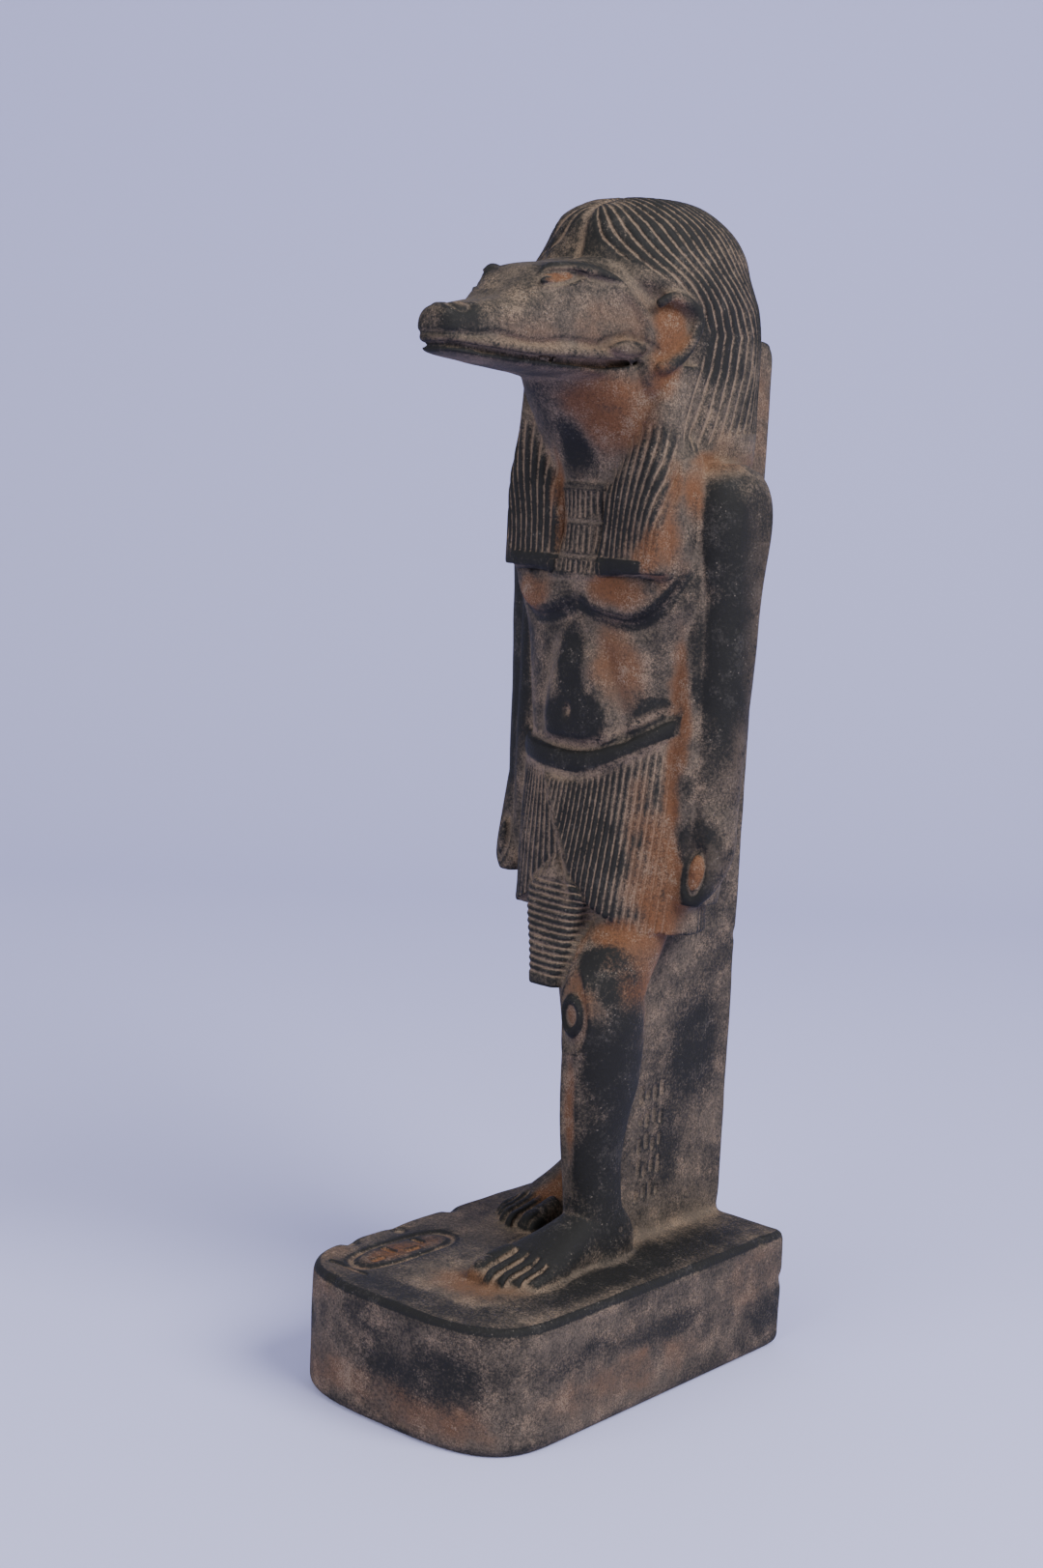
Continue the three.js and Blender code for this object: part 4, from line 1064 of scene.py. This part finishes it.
sideways = facing_sideways() * ramp(8, 10, np.abs(x))
eye_brown = 0.7 * ramp(0.85, 0.55, eye_away()) * sideways * (x > 0)
# Painted shade in the groove behind each ear ridge.
ear_groove_painted_shade = sum(hump(line_away(EAR, m, 2.6), 0, 1) for m in (1, -1))
# Painted shade in the groove round each jaw boss.
jaw_boss_painted_shade = 0.7 * hump(boss_away(), 1.2, 0.2) * sideways * ramp(12, 16, np.abs(x))
sign_dark = 0.8 * slab_marks()
at_mouth, mouth_line, lip_top = mouth_lines()
# Painted shade in the mouth cut and in the groove at the lip band's upper edge.
mouth_painted_shade = at_mouth * np.maximum(hump(z, mouth_line + 0.2, 0.9), 0.7 * hump(z, lip_top + 0.5, 0.6))
lip_tan = at_mouth * ramp(mouth_line + 0.8, mouth_line + 1.6, z) * ramp(lip_top + 0.1, lip_top - 0.7, z)
lid_tan = hump(eye_away(), 1.3, 0.25) * sideways
parting_tan = hump(x, PARTING_ACROSS, 1.1) * near(off(WIG), 6) * ramp(304, 310, z) * ramp(46, 40, y)
overlap_tan = hump(x - overlap_edge(z), 0.5, 1) * near(off(KILT), 4) * ramp(16, 8, y)
overlap_tan = overlap_tan * ramp(-1, -2, above_foot) * ramp(134, 137, z)
tab_tan = near(off(TAB), 2) * ramp(140.6, 142, z) * ramp(148, 147, z) * ramp(6, 2, y)
navel_tan = hump(x, -1.6, 1.1) * hump(z, 188.4, 1.6) * ramp(6, 2, y)
strongest = np.maximum.reduce
# Rubbed places and painted shade are gathered together here.
rubbed_and_painted_shade = [places(DARK), chest_painted_shade, on_belt, bands, rim, ring_dark, arch, mouth_painted_shade, ear_groove_painted_shade, jaw_boss_painted_shade]
rubbed_and_shade_field = strongest(rubbed_and_painted_shade + [sign_dark]) * (1 - np.maximum(eye_brown, rod_brown))
rubbed_and_shade_field = np.clip(rubbed_and_shade_field, 0, 1)
orange_field = places(ORANGE) * (1 - 0.8 * strongest([on_belt, bands, ring_dark, arch]))
orange_field = strongest([orange_field, 1.1 * eye_brown, 1.2 * rod_brown])
tans = [
    above_belt, 0.6 * below_belt, 0.5 * lip_tan, 0.8 * lid_tan, parting_tan, 0.9 * overlap_tan, navel_tan,
    0.5 * tab_tan, places(PALE_SPOTS),
]
pale_field = np.clip(strongest(tans), 0, 1)
print("dark share", round(float(rubbed_and_shade_field.mean()), 2), "brown share", round(float(orange_field.mean()), 2))

# %% Handing the numbers to the mesh
# The dark attribute carries the rubbed places together with the painted shade.
FIELDS = {
    "stroke": stroke, "stroked": stroked, "fine": fine, "coarse": coarse, "dark": rubbed_and_shade_field,
    "orange": orange_field, "pale": pale_field,
}
for name, values in FIELDS.items():
    attribute = statue.data.attributes.new(name, "FLOAT", "POINT")
    attribute.data.foreach_set("value", values.astype(np.float32))

# %% [markdown]
# The skin has more faces than flat stone needs. Decimate joins them where the surface is flat, keeps them
# where strokes are, and carries the attributes along.

# %% Fewer faces
MOST_TRIANGLES = 192000
before = len(statue.data.polygons) * 2
finish_modifier(statue, "DECIMATE", ratio=min(1, MOST_TRIANGLES / before), use_collapse_triangulate=True)
for face in statue.data.polygons:
    face.use_smooth = True
print("triangles:", before, "->", len(statue.data.polygons), [a.name for a in statue.data.attributes])

# %% [markdown]
# ## The stone
# The stone is nearly black and dull. Over it lie a warm brown wash, a pale dusty wash in the strokes, dark
# rubbed places, and painted shade in the mouth cut, the ear and jaw grooves and under the chest. All noise
# reads Object coordinates, so it stays on the stone.

# %% A small kit for node trees
class Nodes:
    def __init__(self, name):
        self.material = bpy.data.materials.new(name)
        self.material.use_nodes = True
        self.tree = self.material.node_tree
        self.shader = self.tree.nodes["Principled BSDF"]
        self.place = self.tree.nodes.new("ShaderNodeTexCoord").outputs["Object"]

    def put(self, socket, value):
        if hasattr(value, "is_output"):
            self.tree.links.new(value, socket)
        else:
            socket.default_value = value

    def node(self, kind, output, inputs, **settings):
        made = self.tree.nodes.new("ShaderNode" + kind)
        for name, value in settings.items():
            setattr(made, name, value)
        for name, value in inputs.items():
            self.put(made.inputs[name], value)
        return made.outputs[output]

    def math(self, operation, a, b=0.0):
        return self.node("Math", 0, {0: a, 1: b}, operation=operation)

    def attribute(self, name):
        return self.node("Attribute", "Fac", {}, attribute_name=name)

    def noise(self, scale, detail=4.0, roughness=0.6, stretch=(1, 1, 1)):
        place = self.node("Mapping", 0, {"Scale": stretch, "Vector": self.place})
        inputs = {"Scale": scale, "Detail": detail, "Roughness": roughness, "Vector": place}
        return self.node("TexNoise", "Fac", inputs)

    def cells(self, scale):
        return self.node("TexVoronoi", "Distance", {"Scale": scale, "Vector": self.place})

    def step(self, value, low, high):
        inputs = {"From Min": low, "From Max": high, "Value": value}
        return self.node("MapRange", "Result", inputs, interpolation_type="SMOOTHSTEP")

    def blend(self, share, a, b):
        return self.node("Mix", "Result", {"Factor": share, "A": a, "B": b}, data_type="RGBA")

    def bump(self, height, distance, strength, **under):
        inputs = {"Distance": distance, "Strength": strength, "Height": height}
        return self.node("Bump", "Normal", inputs | under)


# %% Colours of the stone and its washes
CHARCOAL = (0.0118, 0.0112, 0.0106, 1)
SLATE = (0.044, 0.039, 0.035, 1)
TAN = (0.121, 0.093, 0.071, 1)
BROWN_WASH = (0.15, 0.064, 0.029, 1)
PALE_WASH = (0.225, 0.157, 0.109, 1)
GRIT = (0.3, 0.25, 0.2, 1)

stone = Nodes("dark_stone")
step, blend, field = stone.step, stone.blend, stone.attribute
cloudy = stone.noise(42, 4, 0.6)
mottle = stone.noise(130, 4, 0.65)
grain = stone.noise(1150, 4, 0.75)
sandy = stone.noise(2300, 2, 0.7)
streaky = stone.noise(70, 4, 0.6, stretch=(1, 0.35, 1.6))


def times(a, b):
    return stone.math("MULTIPLY", a, b)


def scaled(value, amount, middle=0.5):
    return times(stone.math("SUBTRACT", value, middle), amount)


def total(first, *rest):
    for value in rest:
        first = stone.math("ADD", first, value)
    return first


stroke_place = stone.math("ADD", field("stroke"), 0.5)
stroke_away = stone.math("ABSOLUTE", stone.math("SUBTRACT", stone.math("FRACT", stroke_place), 0.5))
stroke_edge = total(stroke_away, scaled(stone.noise(420, 3, 0.6), 0.2))
stroked_here = step(field("stroked"), 0.3, 0.6)
in_stroke = times(step(stroke_edge, 0.17, 0.08), stroked_here)

# %% [markdown]
# One number, the cover, tells how much of the dark stone the wash hides. Clouds, hollows and the brown
# places raise it; rubbed places, high places and painted shade lower it. A fine grain turns it into specks,
# so that no border is smooth, as on the real stone.

# %% Layers of colour
hollows = step(field("coarse"), 0.1, -1.0)
proud = step(field("coarse"), 0.1, 1.2)
low_places = step(field("fine"), 0.0, -0.1)
high_places = step(field("fine"), 0.02, 0.16)
clouds = total(scaled(cloudy, 0.9), scaled(mottle, 0.8), scaled(streaky, 0.8))
# Rubbed places and painted shade lower the cover alike.
rubbed_and_shade_here = step(total(field("dark"), scaled(clouds, 0.5, 0.0)), 0.1, 0.85)
orange_here = step(total(field("orange"), scaled(clouds, 0.7, 0.0)), 0.1, 0.95)
not_orange = stone.math("SUBTRACT", 1.0, times(orange_here, 0.7))
high_cover = times(times(high_places, not_orange), -0.4)
cover = total(
    0.5, clouds,
    times(field("orange"), 0.4), times(hollows, 0.3),
    times(low_places, 0.3), times(rubbed_and_shade_here, -0.62),
    high_cover, times(proud, -0.1), times(stroked_here, -0.12),
)
speckled = step(total(cover, scaled(grain, 1.25)), 0.04, 0.86)
wash_colour = blend(orange_here, TAN, BROWN_WASH)
wash_colour = blend(step(total(mottle, scaled(sandy, 0.8)), 0.48, 0.8), wash_colour, PALE_WASH)
ground = blend(step(total(mottle, scaled(grain, 1.0)), 0.5, 0.85), CHARCOAL, SLATE)
colour = blend(times(speckled, 0.94), ground, wash_colour)
patchy = total(mottle, scaled(grain, 0.9))
pale_dust = times(field("pale"), step(patchy, 0.3, 0.55))
dust = stone.math("MAXIMUM", times(in_stroke, step(patchy, 0.28, 0.55)), pale_dust)
dust_colour = blend(orange_here, PALE_WASH, blend(0.45, BROWN_WASH, PALE_WASH))
colour = blend(times(dust, 0.72), colour, dust_colour)
shade = step(total(grain, scaled(sandy, 0.6)), 0.62, 0.3)
colour = blend(times(shade, 0.3), colour, CHARCOAL)
grit = times(step(stone.cells(640), 0.17, 0.08), step(mottle, 0.46, 0.6))
colour = blend(times(grit, 0.4), colour, GRIT)
stone.put(stone.shader.inputs["Base Color"], colour)

# %% Dullness and fine bumps
rough = stone.math("SUBTRACT", 0.72, times(speckled, -0.18))
stone.put(stone.shader.inputs["Roughness"], total(rough, scaled(sandy, 0.1)))
stone.shader.inputs["Specular IOR Level"].default_value = 0.22
grainy = stone.bump(grain, 0.0004, 0.6)
pitted = stone.bump(step(stone.cells(420), 0.02, 0.16), 0.0004, 0.35, Normal=grainy)
cut_in = stone.bump(stone.math("SUBTRACT", 1.0, in_stroke), 0.0005, 0.5, Normal=pitted)
stone.put(stone.shader.inputs["Normal"], cut_in)
statue.data.materials.clear()
statue.data.materials.append(stone.material)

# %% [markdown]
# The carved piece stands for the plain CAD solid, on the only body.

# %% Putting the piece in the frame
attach(statue, "root")
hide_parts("statue")

# %% [markdown]
# ## The picture
# The statue stands on pale bluish paper that curves up behind it. The camera stands to the figure's left, a
# little above the middle, and is slightly rolled.

# %% Paper floor and backdrop
PAPER = (0.58, 0.585, 0.89, 1)
PAPER_FRONT = -900
PAPER_BEND = 700
PAPER_BEND_RADIUS = 500
PAPER_RISE = 1600
PAPER_HALF_WIDTH = 2000
VIEW_AROUND = math.radians(40.35)
sheet = bmesh.new()
floor_ends = [sheet.verts.new(Vector((0, end, 0)) * MM) for end in (PAPER_FRONT, PAPER_BEND)]
sheet.edges.new(floor_ends)
bend_middle = Vector((0, PAPER_BEND, PAPER_BEND_RADIUS)) * MM
bmesh.ops.spin(
    sheet, geom=[floor_ends[1]], cent=bend_middle, axis=(1, 0, 0), angle=math.radians(90), steps=16
)
rim_point = max(sheet.verts, key=lambda v: v.co.z)
top_point = bmesh.ops.extrude_vert_indiv(sheet, verts=[rim_point])["verts"][0]
top_point.co.z += PAPER_RISE * MM
bmesh.ops.translate(sheet, verts=sheet.verts[:], vec=Vector((-PAPER_HALF_WIDTH, 0, 0)) * MM)
widened = bmesh.ops.extrude_edge_only(sheet, edges=sheet.edges[:])["geom"]
far_side = [g for g in widened if isinstance(g, bmesh.types.BMVert)]
bmesh.ops.translate(sheet, verts=far_side, vec=Vector((2 * PAPER_HALF_WIDTH, 0, 0)) * MM)
bmesh.ops.rotate(sheet, verts=sheet.verts[:], cent=(0, 0, 0), matrix=Matrix.Rotation(VIEW_AROUND, 3, "Z"))
bmesh.ops.recalc_face_normals(sheet, faces=sheet.faces[:])
paper_mesh = bpy.data.meshes.new("paper")
sheet.to_mesh(paper_mesh)
sheet.free()
for face in paper_mesh.polygons:
    face.use_smooth = True
paper = show("paper_backdrop", paper_mesh)
paper_finish = Nodes("pale_paper")
paper_finish.shader.inputs["Base Color"].default_value = PAPER
paper_finish.shader.inputs["Roughness"].default_value = 0.95
paper.data.materials.append(paper_finish.material)

# %% Camera at the photograph's angle
VIEW_DOWN = math.radians(8.0)
VIEW_ROLL = math.radians(2.95)
VIEW_DISTANCE = 619
VIEW_RIGHT = 13.1
VIEW_UP = -17.1
AIM_HEIGHT = 150
PHOTO_LONG_SIDE = 1623
FOCAL_PIXELS = 2300
FILM = 36
right = Vector((math.cos(VIEW_AROUND), math.sin(VIEW_AROUND), 0))
level = Vector((-right.y, right.x, 0))
ahead = level * math.cos(VIEW_DOWN) - Vector((0, 0, math.sin(VIEW_DOWN)))
up = right.cross(ahead)
spot = Vector((0, 0, AIM_HEIGHT)) - ahead * VIEW_DISTANCE - right * VIEW_RIGHT - up * VIEW_UP
rolled_right = right * math.cos(VIEW_ROLL) + up * math.sin(VIEW_ROLL)
rolled_up = up * math.cos(VIEW_ROLL) - right * math.sin(VIEW_ROLL)
camera = show("camera", bpy.data.cameras.new("camera"))
camera.data.sensor_width = FILM
camera.data.lens = FOCAL_PIXELS / PHOTO_LONG_SIDE * FILM
camera.data.clip_start = 0.01
turned = Matrix((rolled_right, rolled_up, -ahead)).transposed().to_4x4()
camera.matrix_world = Matrix.Translation(spot * MM) @ turned
bpy.context.scene.camera = camera
print("camera at", [round(v, 3) for v in camera.matrix_world.translation])

# %% [markdown]
# Two big soft lamps and a pale sky give the light of a small studio. The brighter lamp stands to the right
# of the camera, because the plinth's long side is the lighter one in the photo.

# %% Soft light
LAMP_AIM = Vector((0, 0, 0.16))


def soft_lamp(name, toward, distance, size, power):
    lamp = show(name, bpy.data.lights.new(name, "AREA"))
    lamp.data.shape = "DISK"
    lamp.data.size = size
    lamp.data.energy = power
    way = toward.normalized()
    lamp.location = LAMP_AIM + way * distance
    lamp.rotation_euler = (-way).to_track_quat("-Z", "Y").to_euler()


soft_lamp("key", right * 0.9 - level * 0.7 + Vector((0, 0, 1.0)), 1.3, 0.9, 22)
soft_lamp("fill", -right * 0.9 - level * 0.9 + Vector((0, 0, 0.7)), 1.5, 1.2, 12)
sky = bpy.data.worlds.new("studio")
sky.use_nodes = True
sky.node_tree.nodes["Background"].inputs["Color"].default_value = (0.75, 0.77, 0.86, 1)
sky.node_tree.nodes["Background"].inputs["Strength"].default_value = 0.6
bpy.context.scene.world = sky
